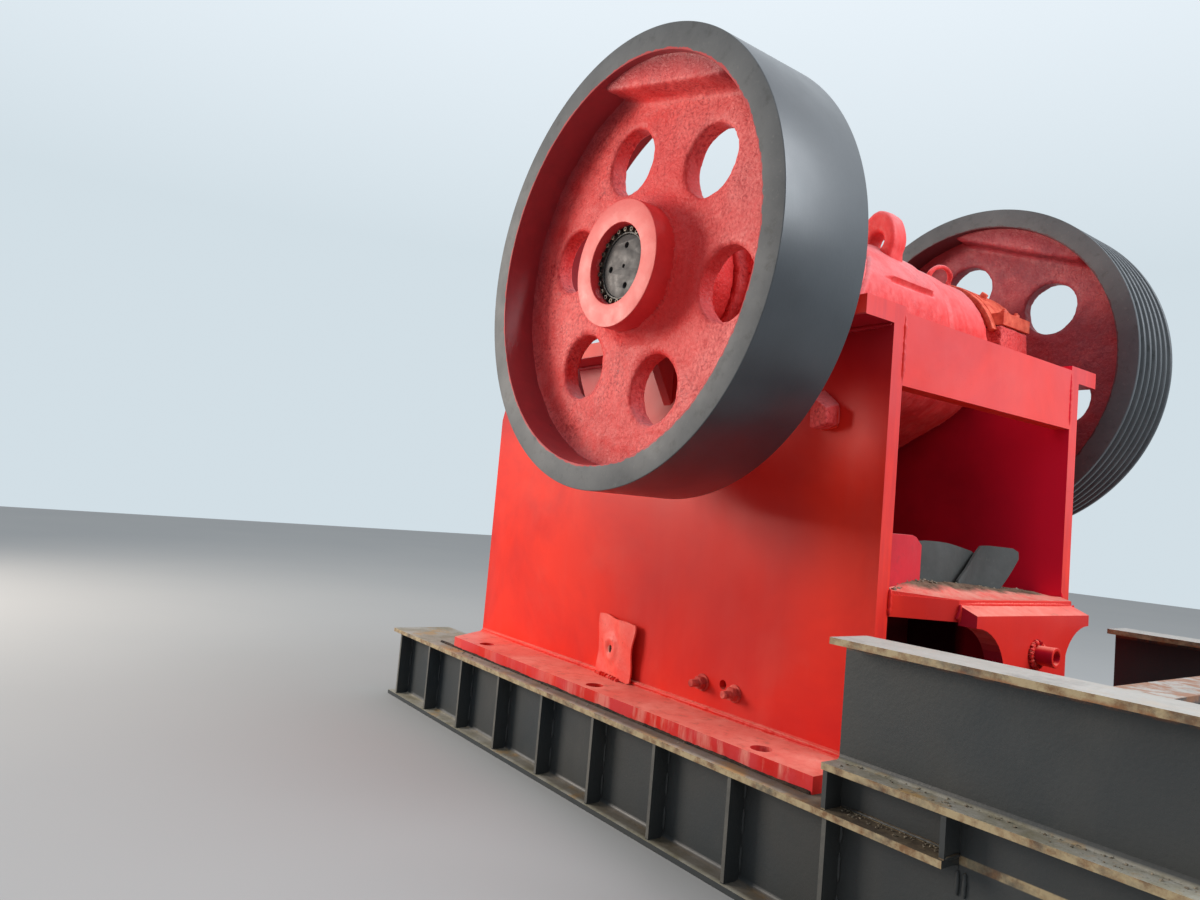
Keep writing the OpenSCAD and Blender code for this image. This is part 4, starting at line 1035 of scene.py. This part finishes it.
# ---------------- shaft with centre and tapped holes in its ends
def shaft():
    o = bpy.data.objects.new("shaft", mesh_of(grab(["eccentric_shaft"]), "shaft"))
    scene.collection.objects.link(o)
    p = coords_of(o.data)
    p[:, 1] = np.clip(p[:, 1], SHAFT_IN - HUB_FACE[-1], HUB_FACE[1] - SHAFT_IN)
    set_coords(o.data, p)
    bm = bmesh.new()
    for s in (-1, 1):
        end = s * (HUB_FACE[s] - SHAFT_IN)
        for turn, d, r, deep in ((0, 0.0, 0.0045, 0.018), (83, 0.050, 0.0070, 0.03),
                                 (181, 0.050, 0.0070, 0.03),
                                 (283, 0.050, 0.0070, 0.03)):
            a = math.radians(turn)
            base = facing((SHAFT.x + d * math.cos(a), end + s * 0.002, SHAFT.z + d * math.sin(a)), (0, -s, 0))
            skin(bm, [[bm.verts.new(base @ Vector((q * r * math.cos(t), q * r * math.sin(t), z)))
                       for t in (2 * math.pi * k / 24 for k in range(24))]
                      for q, z in ((1.25, 0), (1.0, 0.004), (1.0, deep), (0.1, deep + 0.006))])
    tool = bpy.data.objects.new("tool", mesh_of(bm, "tool"))
    scene.collection.objects.link(tool)
    m = o.modifiers.new("holes", "BOOLEAN")
    m.operation = "DIFFERENCE"
    m.solver = "EXACT"
    m.object = tool
    bevel(o, 0.0045)
    me = bake(o)
    bpy.data.objects.remove(o)
    bpy.data.objects.remove(tool)
    add_piece("shaft", me, M["steel"], "rotor", ["eccentric_shaft"], "bare_steel", smooth=30)


shaft()


# ---------------- castings
def casting(name, nodes, voxel, smooth, layers, body, mat, slot, bore=None):
    me = remesh(mesh_of(grab(nodes), name), voxel, smooth)
    roughen(me, layers)
    if bore:
        center, r = bore
        push_radius(me, center, lambda rad, y: (rad < r) & (rad > 0.6 * r), r)
    return add_piece(name, me, mat, body, nodes, slot, smooth=180)


pitman = casting("pitman_casting", ["pitman"], 0.0094, 5, [(0.09, 0.0022, 3), (0.025, 0.0012, 4),
                                                           (0.010, 0.0006, 5)],
                 "swing", M["barrel"], "red_paint", (ECC, 0.1135))
p = coords_of(pitman.data)
d = p - np.array([ECC.x, 0, ECC.z])
rad, turn = np.hypot(d[:, 0], d[:, 2]), np.degrees(np.arctan2(d[:, 2], d[:, 0]))
pad = (np.abs(p[:, 1]) < SADDLE_HALF + 0.012) & (turn > SADDLE_TURNS[0] - 2) & (turn < SADDLE_TURNS[1] + 2)
pad &= (rad > BARREL_R - 0.0015) & (rad < BARREL_R + 0.030)
k = (BARREL_R - 0.0015) / rad[pad]
p[pad, 0], p[pad, 2] = ECC.x + d[pad, 0] * k, ECC.z + d[pad, 2] * k
set_coords(pitman.data, p)
eye = casting("lifting_eye_casting", ["lifting_eye"], 0.0034, 26, [(0.03, 0.0012, 7), (0.008, 0.0005, 8)],
              "swing", M["barrel"], "red_paint")
p = coords_of(eye.data)
p += normals_of(eye.data) * EYE_GROW
# its ring is thicker at the top than the sketch's, and its foot goes into the pad
mid_x = ECC.x + (BARREL_R + EYE_UP) * math.sin(EYE_BACK)
mid_z = ECC.z + (BARREL_R + EYE_UP) * math.cos(EYE_BACK)
up = p[:, 2] - mid_z
t = np.clip((np.hypot(p[:, 0] - mid_x, up) - EYE_HOLE_R) / (EYE_R - EYE_HOLE_R), 0, 1)
p[:, 2] = mid_z - EYE_DROP + up * np.where(up > 0, EYE_LOW_K + (EYE_TOP_K - EYE_LOW_K) * t, EYE_LOW_K)
set_coords(eye.data, p)
casting("bearing_housing_castings", ["bearing_housings"], 0.0068, 5,
        [(0.07, 0.0022, 9), (0.02, 0.0018, 10), (0.009, 0.0012, 12)], "frame", M["cast"], "red_paint",
        (SHAFT, 0.0935))


def cap_lips():
    """Half rings on the caps' inner faces, close to the barrel's ends."""
    bm = bmesh.new()
    for s in (-1, 1):
        y0, y1 = s * (IN_Y + 0.010), s * (CAP_Y0 + 0.002)
        section = rounded([(LIP_R0, y1), (LIP_R0, y0), (LIP_R1, y0), (LIP_R1, y1)], 0.003)
        skin(bm, [[bm.verts.new((SHAFT.x + r * math.cos(a), y, SHAFT.z + r * math.sin(a))) for r,
                   y in section]
                  for a in np.radians(np.linspace(16, 164, 90))])
    add_made("cap_lips", bm, M["cap"], "frame", None, "red_paint", smooth=40)


cap_lips()


def loops():
    """The two small lifting loops on the barrel, bent wider than the sketch has them."""
    me = mesh_of(grab(["barrel_loops"]), "loops")
    p = coords_of(me)
    for s in (-1, 1):
        mine = p[:, 1] * s > 0
        middle = (p[mine, 1].min() + p[mine, 1].max()) / 2
        p[mine, 1] = middle + (p[mine, 1] - middle) * LOOP_STRETCH
    set_coords(me, p)
    roughen(me, [(0.02, 0.0012, 71), (0.007, 0.0006, 72)])
    add_piece("loops", me, M["cast"], "swing", ["barrel_loops"], "red_paint", smooth=60)


loops()


# ---------------- patch sheet with a bulge round a small hole
def patch_sheet():
    """A bent sheet: it lies on the side plate at its front edge and stands off at its rear edge."""
    x0, x1 = lo("patch_plate").x - 0.008, hi("patch_plate").x
    z0, z1 = lo("patch_plate").z - 0.012, hi("patch_plate").z
    turns, steps = 96, 18
    rows = {0: [], 1: []}
    for side in (0, 1):
        for j in range(steps + 1):
            ring = []
            for k in range(turns):
                a = 2 * math.pi * k / turns
                c, s = math.cos(a), math.sin(a)
                far_x = ((x1 if c > 0 else x0) - HOLE_X) / c if abs(c) > 1e-6 else 9
                far_z = ((z1 if s > 0 else z0) - HOLE_Z) / s if abs(s) > 1e-6 else 9
                t = j / steps
                r = HOLE_R + (min(far_x, far_z) - HOLE_R) * t ** 1.4
                x, z = HOLE_X + r * c, HOLE_Z + r * s * (1.7 - 0.7 * t ** 0.2)
                # torch-cut outline, never straight
                x += (t ** 3 * 0.0022 * math.sin(38 * z + 1.0 + (2.0 if c > 0 else 0))
                      - t ** 3 * 0.010 * (z1 - z) * 5 * (c > 0))
                z += t ** 3 * (0.0018 * math.sin(60 * x) - (0.010 * (x - x0) / (x1 - x0) if s > 0 else 0))
                u = (x - x0) / (x1 - x0)
                lift = 0.0075 + 0.017 * min(1.0, max(0.0, u) * 1.5) ** 1.2 + 0.003 * math.sin(46 * z + 9 * u)
                lift += 0.0060 * math.exp(-((r - 0.026) / 0.013) ** 2) - 0.004 * math.exp(-(r / 0.012) ** 2)
                y = -OUT_Y - min(max(lift, 0.006), 0.0275) + (0.0055 if side else 0)
                ring.append(Vector((x, min(y, -OUT_Y - 0.0003), z)))
            rows[side].append(ring)
    bm = bmesh.new()
    skin(bm, [[bm.verts.new(p) for p in row] for row in rows[0] + rows[1][::-1]], closed=True)
    add_made("patch_sheet", bm, M["patch"], "frame", ["patch_plate"], "red_paint", smooth=40)


patch_sheet()


# ---------------- saddle of the swing jaw with its step
def saddle_height(y, turn):
    """Height over the barrel: a raised plate with a crisp edge, a groove beside it, a fillet at the eye."""
    h = SADDLE_H
    if turn > STEP_TURN and y < STEP_Y:
        h += STEP_H * min(1.0, (STEP_Y - y) / 0.004, (turn - STEP_TURN) / 0.8,
                          max(0.0, (y + STEP_Y + 0.05) / 0.04))
    h -= 0.0055 * math.exp(-((y - GROOVE_Y) / 0.0075) ** 2)
    h -= 0.0050 * math.exp(-((turn - STEP_TURN + 1.4) / 1.2) ** 2) * (-STEP_Y - 0.02 < y < STEP_Y)
    foot = max(0.0, abs(y) - EYE_T / 2) / 0.022
    h += 0.010 * math.exp(-foot * foot) / (1 + math.exp(-(turn - 62) / 2.0))
    past = max(0.0, (y - GROOVE_Y - 0.02) / 0.08)
    return (h - 0.003) * max(0.0, 1 - past * past) + 0.003


def saddle():
    """Raised pad round the barrel; its near edge runs outwards as it goes down."""
    turn0, turn1 = SADDLE_TURNS
    rows, cols = 150, 110
    bm = bmesh.new()
    loops = []
    for i in range(rows + 1):
        turn = turn0 + (turn1 - turn0) * i / rows
        a = math.radians(turn)
        y0, y1 = -0.150 - max(0.0, 45 - turn) * 0.0030, 0.250
        end = min(1.0, (turn - turn0) / 3.5, (turn1 - turn) / 3.5)
        top = []
        for j in range(cols + 1):
            y = y0 + (y1 - y0) * j / cols
            side = min(1.0, (y - y0) / 0.012, (y1 - y) / 0.012)
            h = saddle_height(y, turn) * math.sin(math.pi / 2 * side) * math.sin(math.pi / 2 * max(0.0, end))
            top.append((BARREL_R + 0.0008 + h, y))
        loops.append([Vector((ECC.x + r * math.cos(a), y, ECC.z + r * math.sin(a)))
                      for r, y in top + [(BARREL_R - 0.006, y1), (BARREL_R - 0.006, y0)]])
    skin(bm, [[bm.verts.new(p) for p in loop] for loop in loops])
    me = mesh_of(bm, "saddle")
    roughen(me, [(0.09, 0.0010, 3), (0.025, 0.0008, 4), (0.010, 0.0004, 5)])
    add_piece("saddle", me, M["barrel"], "swing", None, "red_paint", smooth=50)


saddle()


# ---------------- rear shelf: dirt bed, stop block, loose sheets
def shelf_edge(y):
    return min(BRACKET_X, REAR_X + (IN_Y - abs(y)) * SHELF_SLOPE) - 0.0015


def bed_height(x, y):
    """Height of the dirt over the shelf: heaped against the near side, thin at the far side."""
    d = shelf_edge(y) - x
    corner = max(0.0, (-BRACKET_HALF - y) / (IN_Y - BRACKET_HALF))
    front = 0.0010 + 0.0085 * corner
    back = float(np.interp(y, (-IN_Y, -0.1, 0.1, IN_Y), (0.034, 0.027, 0.017, 0.007)))
    t = min(1.0, max(0.0, (d - 0.015) / 0.10))
    fade = min(1.0, max(0.0, (0.42 - d) / 0.15))
    h = front + (back - front) * t * t * (3 - 2 * t)
    q = np.array([[x, y, 0.0]])
    rough = 0.0028 * value_noise(q, 0.024, 51)[0] + 0.0016 * value_noise(q, 0.009, 52)[0]
    return max(0.0006, h * fade + rough * min(1.0, d / 0.03) * (0.3 + 0.7 * t))


def dirt_bed():
    rows, cols, back = 130, 46, 0.44
    bm = bmesh.new()
    loops = []
    for i in range(rows + 1):
        y = (-IN_Y + 0.0015) + (2 * IN_Y - 0.003) * i / rows
        x1 = shelf_edge(y)
        xs = [x1 - back * (1 - j / cols) ** 1.3 for j in range(cols + 1)]
        loops.append([Vector((x, y, SHELF_TOP + bed_height(x, y))) for x in xs]
                     + [Vector((x1, y, SHELF_TOP - 0.001)), Vector((x1 - back, y, SHELF_TOP - 0.001))])
    skin(bm, [[bm.verts.new(p) for p in loop] for loop in loops])
    add_made("dirt_bed", bm, M["bed"], "frame", None, "loose_sheet", smooth=35)


def guide_block():
    """Welded stop: its face turns in a little at its free end."""
    bm = bmesh.new()
    loops = []
    for y, x1, top in ((-IN_Y, BLOCK_X1, BLOCK_TOP), (-0.275, BLOCK_X1, BLOCK_TOP),
                       (-0.252, BLOCK_X1 - 0.005, BLOCK_TOP - 0.004),
                       (-0.216, BLOCK_X1 - 0.014, BLOCK_TOP - 0.022)):
        z0 = SHELF_TOP - 0.0005
        loops.append([bm.verts.new(p) for p in ((BLOCK_X0, y, z0), (x1, y, z0), (x1, y, top),
                                                (BLOCK_X0, y, top))])
    skin(bm, loops)
    # painted shade: the stop block takes the darker chamber paint
    o = add_made("stop_block", bm, M["inside"], "frame", ["guide_block"], "red_paint", smooth=30)
    bevel(o, 0.0012)


def loose_sheets():
    """Two bent offcuts: columns of (lower y, lower z, upper y, upper z, x) in millimetres."""
    left = ((-228, 650, -210, 752, 806), (-220, 650, -203, 770, 807), (-190, 650, -168, 773, 810),
            (-140, 650, -125, 773, 812),
            (-110, 650, -82, 771, 811), (-95, 650, -45, 767, 808), (-80, 650, -5, 762, 804),
            (-60, 650, 40, 756, 800), (-50, 650, 84, 740, 797))
    right = ((-74, 650, -58, 684, 822), (-45, 650, -12, 714, 819), (-10, 650, 42, 752, 812),
             (20, 650, 81, 771, 805),
             (55, 650, 130, 773, 801), (85, 650, 190, 772, 803), (104, 650, 232, 771, 808),
             (118, 650, 250, 762, 813),
             (122, 650, 244, 744, 816))
    bm = bmesh.new()
    steps = 10
    for columns in (left, right):
        dense = []
        for a, b in zip(columns, columns[1:]):
            dense += [[p + (q - p) * t / 4 for p, q in zip(a, b)] for t in range(4)]
        dense.append(list(columns[-1]))
        loops = []
        for y0, z0, y1, z1, x in dense:
            line = []
            for j in range(steps + 1):
                t = j / steps
                z = z0 + (z1 - z0) * t
                line.append((x - 0.09 * (z - z0) - 3.0 * math.sin(3.1 * t) * math.sin(0.02 * y1),
                             y0 + (y1 - y0) * t, z))
            front = [Vector(v) / 1000 for v in line]
            loops.append([bm.verts.new(v) for v in front + [v - Vector((SHEET_T, 0,
                                                                        0)) for v in front[::-1]]])
        skin(bm, loops)
    me = mesh_of(bm, "loose_sheets")
    add_piece("loose_sheets", me, M["sheet"], "frame", ["loose_plates"], "loose_sheet", smooth=40)


dirt_bed()
guide_block()
loose_sheets()


# ---------------- tension rod with its thick sleeve, lug under the wheel
def rod_and_sleeve():
    base = facing((BRACKET_FACE, 0, ROD_Z), (1, 0, 0))
    bm = bmesh.new()
    skin(bm, [[bm.verts.new((x, ROD_R * math.cos(a), ROD_Z + ROD_R * math.sin(a))) for a in np.linspace(0,
        2 * math.pi, 25)[:-1]]
              for x in (ROD_X0, BRACKET_FACE + 0.022)])
    lathe(bm, rounded([(0.0135, -0.001), (0.0215, -0.001), (0.0222, 0.026), (0.0232, 0.048), (0.0155, 0.048),
                       (0.0135, 0.018)], 0.002), 48, base)
    me = mesh_of(bm, "rod_and_sleeve")
    add_piece("rod_and_sleeve", me, M["plate"], "frame", ["tension_rod"], "bare_steel", smooth=40)


def lug():
    """Small rough block with a sloping top, half hidden by the near wheel."""
    a = lo("side_lug")
    y0, y1 = -OUT_Y + 0.001, -OUT_Y - 0.048
    bm = bmesh.new()
    loops = [[bm.verts.new(p) for p in ((x, y0, low), (x, y1 + 0.004, low), (x, y1, outer), (x, y0, top))]
             for x, low, outer, top in ((a.x, 1.010, 1.092, 1.106), (0.676, 1.010, 1.082, 1.106),
                                        (0.700, 1.011, 1.068, 1.088),
                                        (LUG_X1, 1.020, 1.054, 1.069))]
    skin(bm, loops)
    me = remesh(mesh_of(bm, "lug"), 0.0026, 5)
    roughen(me, [(0.02, 0.0012, 61), (0.006, 0.0006, 62)])
    add_piece("lug", me, M["cast"], "frame", ["side_lug"], "red_paint", smooth=180)


rod_and_sleeve()
lug()

# ---------------- studs, bolts
bm = bmesh.new()
for x, z in STUDS:
    base = facing((x, -OUT_Y, z), (0, -1, 0))
    washer(bm, base, 0.0225, 0.009, -0.0005, 0.004)
    nut(bm, base, 0.031, 0.0035, 0.020)
    thread(bm, base, 0.0100, 0.018, 0.044)
add_made("plate_studs", bm, M["stud"], "frame", ["side_studs"], "red_paint", smooth=30)

bm = bmesh.new()
for s in (-1, 1):
    y = s * (CAP_Y0 + CAP_Y1) / 2
    for x in (SHAFT.x - 0.228, SHAFT.x + 0.228):
        bolt(bm, (x, y + s * 0.030, EAR_TOP), (0, 0, 1), 0.020, 0.011, 0.006)
        bolt(bm, (x, y - s * 0.040, EAR_TOP), (0, 0, 1), 0.020, 0.011, 0.006)
    # grease fitting on each cap
    out = Vector((math.cos(math.radians(50)), 0, math.sin(math.radians(50))))
    bolt(bm, Vector((SHAFT.x, y - s * 0.04, SHAFT.z)) + out * CAP_R, out, 0.020, 0.014)
add_made("cap_bolts", bm, M["cap"], "frame", None, "red_paint", smooth=30)

bm = bmesh.new()
lean = Vector((math.sin(math.radians(23)), 0, math.cos(math.radians(23))))
clamp_top = (lo("jaw_clamp") + hi("jaw_clamp")) / 2 + lean * 0.0216
for y in (-0.22, -0.075, 0.075, 0.22):
    bolt(bm, clamp_top + Vector((0, y, 0)), lean, 0.036, 0.022, 0.014)
add_made("clamp_bolts", bm, M["steel"], "swing", None, "bare_steel", smooth=30)

bm = bmesh.new()
key_x, key_z = (lo("jaw_key").x + hi("jaw_key").x) / 2, hi("jaw_key").z
for y in (-0.27, -0.09, 0.09, 0.27):
    bolt(bm, (key_x, y, key_z), (0, 0, 1), 0.024, 0.015, 0.010)
add_made("key_bolts", bm, M["steel"], "frame", None, "bare_steel", smooth=30)


# ---------------- welds on the red frame
def frame_welds(bm):
    for s in (-1, 1):
        y, yi, yb = s * OUT_Y, s * IN_Y, s * BRACKET_HALF
        weld(bm, (FRONT_X + 0.012, y + s * 0.006, FOOT_TOP + 0.006),
             (REAR_X - 0.004, y + s * 0.006, FOOT_TOP + 0.005), 0.0075)
        z = FLANGE_LOW - 0.003
        weld(bm, (FLANGE_X + 0.01, y + s * 0.003, z), (SHAFT.x - 0.215, y + s * 0.003, z), 0.007)
        weld(bm, (SHAFT.x + 0.205, y + s * 0.003, z), (REAR_X - 0.006, y + s * 0.003, z), 0.007)
        # rear cross plate, shelf and side plate meet in these seams
        for x, dy in ((REAR_X - 0.002, 0), (REAR_X - 0.045, 0.003)):
            weld(bm, (x, yi - s * dy, CROSS_LOW + 0.004), (x, yi - s * dy, CROSS_TOP - 0.003), 0.0065)
        weld(bm, (REAR_X + 0.002, yi - s * 0.001, SHELF_LOW + 0.002),
             (REAR_X + 0.003, yi - s * 0.001, SHELF_TOP + 0.012), 0.0055, 0.004)
        for z, back in ((SHELF_TOP + 0.003, 0.1), (SHELF_LOW - 0.003, 0.01)):
            weld(bm, (SHELF_X0 + 0.01, yi - s * 0.003, z), (REAR_X - back, yi - s * 0.003, z), 0.007)
        # ends of the rod bracket
        weld(bm, (BRACKET_X + 0.002, yb, SHELF_LOW - 0.002), (BRACKET_X + 0.004, yb, SHELF_TOP - 0.008),
             0.0052, 0.004)
        weld(bm, (BRACKET_X - 0.003, yb + s * 0.004, SHELF_LOW + 0.004),
             (BRACKET_X + 0.006, yb - s * 0.002, SHELF_TOP - 0.016), 0.0055, 0.004)
    weld(bm, (BRACKET_X - 0.001, -BRACKET_HALF, SHELF_TOP - 0.009),
         (BRACKET_X - 0.001, BRACKET_HALF, SHELF_TOP - 0.009), 0.005)
    a = lo("side_lug")
    y = -OUT_Y - 0.003
    weld(bm, (a.x, y, 1.010), (LUG_X1, y, 1.018), 0.005)
    weld(bm, (LUG_X1 - 0.001, y, 1.020), (LUG_X1 - 0.001, y, 1.064), 0.005)
    a, b = lo("patch_plate"), hi("patch_plate")
    for k in range(16):
        x = a.x - 0.004 + 0.0085 * k
        y = -OUT_Y - 0.014 - 0.0009 * k
        weld(bm, (x, y, FOOT_TOP + 0.002), (x + 0.009, y - 0.002, FOOT_TOP + 0.003),
             rng.uniform(0.004, 0.009), 0.004)
    # feed wall: its ribs and its seams to the side plates
    face_x = FRONT_X + 0.180
    for k in range(4):
        z = FOOT_Z + 0.060 + k * (FLANGE_LOW - FOOT_Z - 0.230) / 3
        for dz in ((0.039,) if k == 0 else (-0.003, 0.039)):
            weld(bm, (face_x - 0.003, -IN_Y + 0.004, z + dz), (face_x - 0.003, IN_Y - 0.004, z + dz), 0.006,
                 0.009)
        for s in (-1, 1):
            weld(bm, (FRONT_X + 0.020, s * (IN_Y - 0.002), z + 0.039),
                 (face_x, s * (IN_Y - 0.002), z + 0.039), 0.006, 0.008)
    for s in (-1, 1):
        weld(bm, (FRONT_X + 0.232, s * (IN_Y - 0.002), FOOT_Z + 0.065),
             (FRONT_X + 0.232, s * (IN_Y - 0.002), TOP_Z), 0.006, 0.009)


bm = bmesh.new()
frame_welds(bm)
add_made("frame_welds", bm, M["plate"], "frame", None, "red_paint", smooth=60)

# ring of weld round the rod's sleeve
bm = bmesh.new()
loop = [Vector((BRACKET_FACE + 0.003, 0.0275 * math.cos(a),
                ROD_Z + 0.0275 * math.sin(a))) for a in np.linspace(0, 2 * math.pi, 28)[:-1]]
for a, b in zip(loop, loop[1:] + loop[:1]):
    weld(bm, a, b, 0.0072, 0.004)
add_made("rod_weld", bm, M["plate"], "frame", None, "red_paint", smooth=60)

# near-black strip for dirt and painted shadow in the seam between foot and beam
bm = bmesh.new()
for s in (-1, 1):
    y = s * hi("far_side_plate").y
    path = [Vector((x, y - s * 0.0005, FOOT_Z + 0.0005)) for x in np.linspace(FRONT_X + 0.010, REAR_X - 0.004,
                                                                              150)]
    tube(bm, path, [0.0042 + 0.0010 * math.sin(0.31 * i) + rng.uniform(0, 0.0016) for i in range(150)], 8)
add_made("seam_shadow_dirt", bm, M["seam"], "frame", None, "loose_sheet", smooth=60)

# ---------------- rolled sections: root fillets and welds of the stand
FILLET = 0.011


def root(bm, x0, x1, y, z, sy, sz):
    """Quarter-round fillet in the corner at (y, z), open towards (sy, sz)."""
    arc = [(FILLET * (1 - math.sin(a)), FILLET * (1 - math.cos(a))) for a in np.linspace(0, math.pi / 2, 5)]
    pts = [(-0.0006, -0.0006), (FILLET, -0.0006)] + arc + [(-0.0006, FILLET)]
    skin(bm, [[bm.verts.new((x, y + sy * u, z + sz * v)) for u, v in pts] for x in (x0, x1)])


bm = bmesh.new()
for s in (-1, 1):
    for web in (WEB_Y, INNER_WEB_Y):
        for side in (-1, 1):
            y = s * (web + side * BEAM_WT / 2)
            root(bm, BEAM_X0 + 0.001, BEAM_X1 - 0.001, y, BEAM_FT, s * side, 1)
            stop = RISER_X if web == WEB_Y and side == 1 else BEAM_X1 - 0.001
            root(bm, BEAM_X0 + 0.001, stop, y, BEAM_H - BEAM_FT, s * side, -1)
    for side in (-1, 1):
        y = s * (WEB_Y + side * BEAM_WT / 2)
        root(bm, UPPER_X0 + 0.001, BEAM_X1 - 0.001, y, UPPER_Z + BEAM_FT, s * side, 1)
        root(bm, UPPER_X0 + 0.001, BEAM_X1 - 0.001, y, UPPER_Z + BEAM_H - BEAM_FT, s * side, -1)
add_made("beam_roots", bm, M["chassis"], "frame", None, "chassis_paint", smooth=40)

bm = bmesh.new()
for s in (-1, 1):
    for i in range(STIFFENERS):
        x = STIFF_X0 + i * STIFF_PITCH
        for dx in (-1, 1):
            xe = x + dx * (STIFF_T / 2 + 0.0015)
            y = s * (WEB_Y + BEAM_WT / 2 + 0.0015)
            for z0, z1 in ((0.030, 0.085), (0.110, 0.165), (0.185, 0.226)):
                weld(bm, (xe, y, z0), (xe, y, z1), 0.0042, 0.005)
            y = s * (INNER_WEB_Y - BEAM_WT / 2 - 0.0015)
            weld(bm, (xe, y, 0.03), (xe, y, 0.222), 0.0042, 0.008)
    y0, y1 = s * (WEB_Y + 0.004), s * (BEAM_OUT - 0.010)
    for x in (UPPER_X0, RISER_X):
        weld(bm, (x + 0.001, y0, BEAM_H + 0.002), (x + 0.001, y1, BEAM_H + 0.002), 0.004, 0.005)
        weld(bm, (x - 0.001, y0, UPPER_Z - 0.002), (x - 0.001, y1, UPPER_Z - 0.002), 0.004, 0.005)
    y = s * (WEB_Y + BEAM_WT / 2 + 0.001)
    weld(bm, (UPPER_X0 + 0.014, y, BEAM_H + 0.002), (RISER_X - 0.014, y, BEAM_H + 0.002), 0.0042, 0.006)
    weld(bm, (UPPER_X0 + 0.014, y, UPPER_Z - 0.002), (BEAM_X1 - 0.01, y, UPPER_Z - 0.002), 0.0042, 0.006)
add_made("beam_welds", bm, M["chassis"], "frame", None, "chassis_paint", smooth=60)

# ---------------- dirt that lies on the ledges
bm = bmesh.new()


def on_bed(x, y):
    return x, y, SHELF_TOP + bed_height(x, y) + 0.0008


crumbs(bm, 150, 0.0065, lambda u, v: on_bed(REAR_X - 0.10 + 0.09 * u, -IN_Y + 0.01 + 0.20 * v * v))
crumbs(bm, 150, 0.0060, lambda u, v: on_bed(REAR_X - 0.16 + 0.13 * u, -0.30 + 0.60 * v))
for s in (-1, 1):
    crumbs(bm, 70, 0.0038, lambda u, v: (UPPER_X0 + 0.02 + (RISER_X - UPPER_X0 - 0.04) * v,
                                          s * (WEB_Y + 0.010 + 0.030 * u * u), BEAM_H + 0.001))
    crumbs(bm, 80, 0.0038, lambda u, v: (UPPER_X0 + 0.02 + (BEAM_X1 - UPPER_X0 - 0.04) * v,
                                          s * (WEB_Y + 0.012 + 0.035 * u * u), UPPER_Z + BEAM_FT + 0.001))
    crumbs(bm, 60, 0.0036, lambda u, v: (FRONT_X + 0.02 + (REAR_X - FRONT_X - 0.04) * v,
                                          s * (OUT_Y + 0.174 + 0.030 * u), FOOT_Z + 0.001))
add_made("crumbs", bm, M["crumbs"], "frame", None, "loose_sheet", smooth=0)
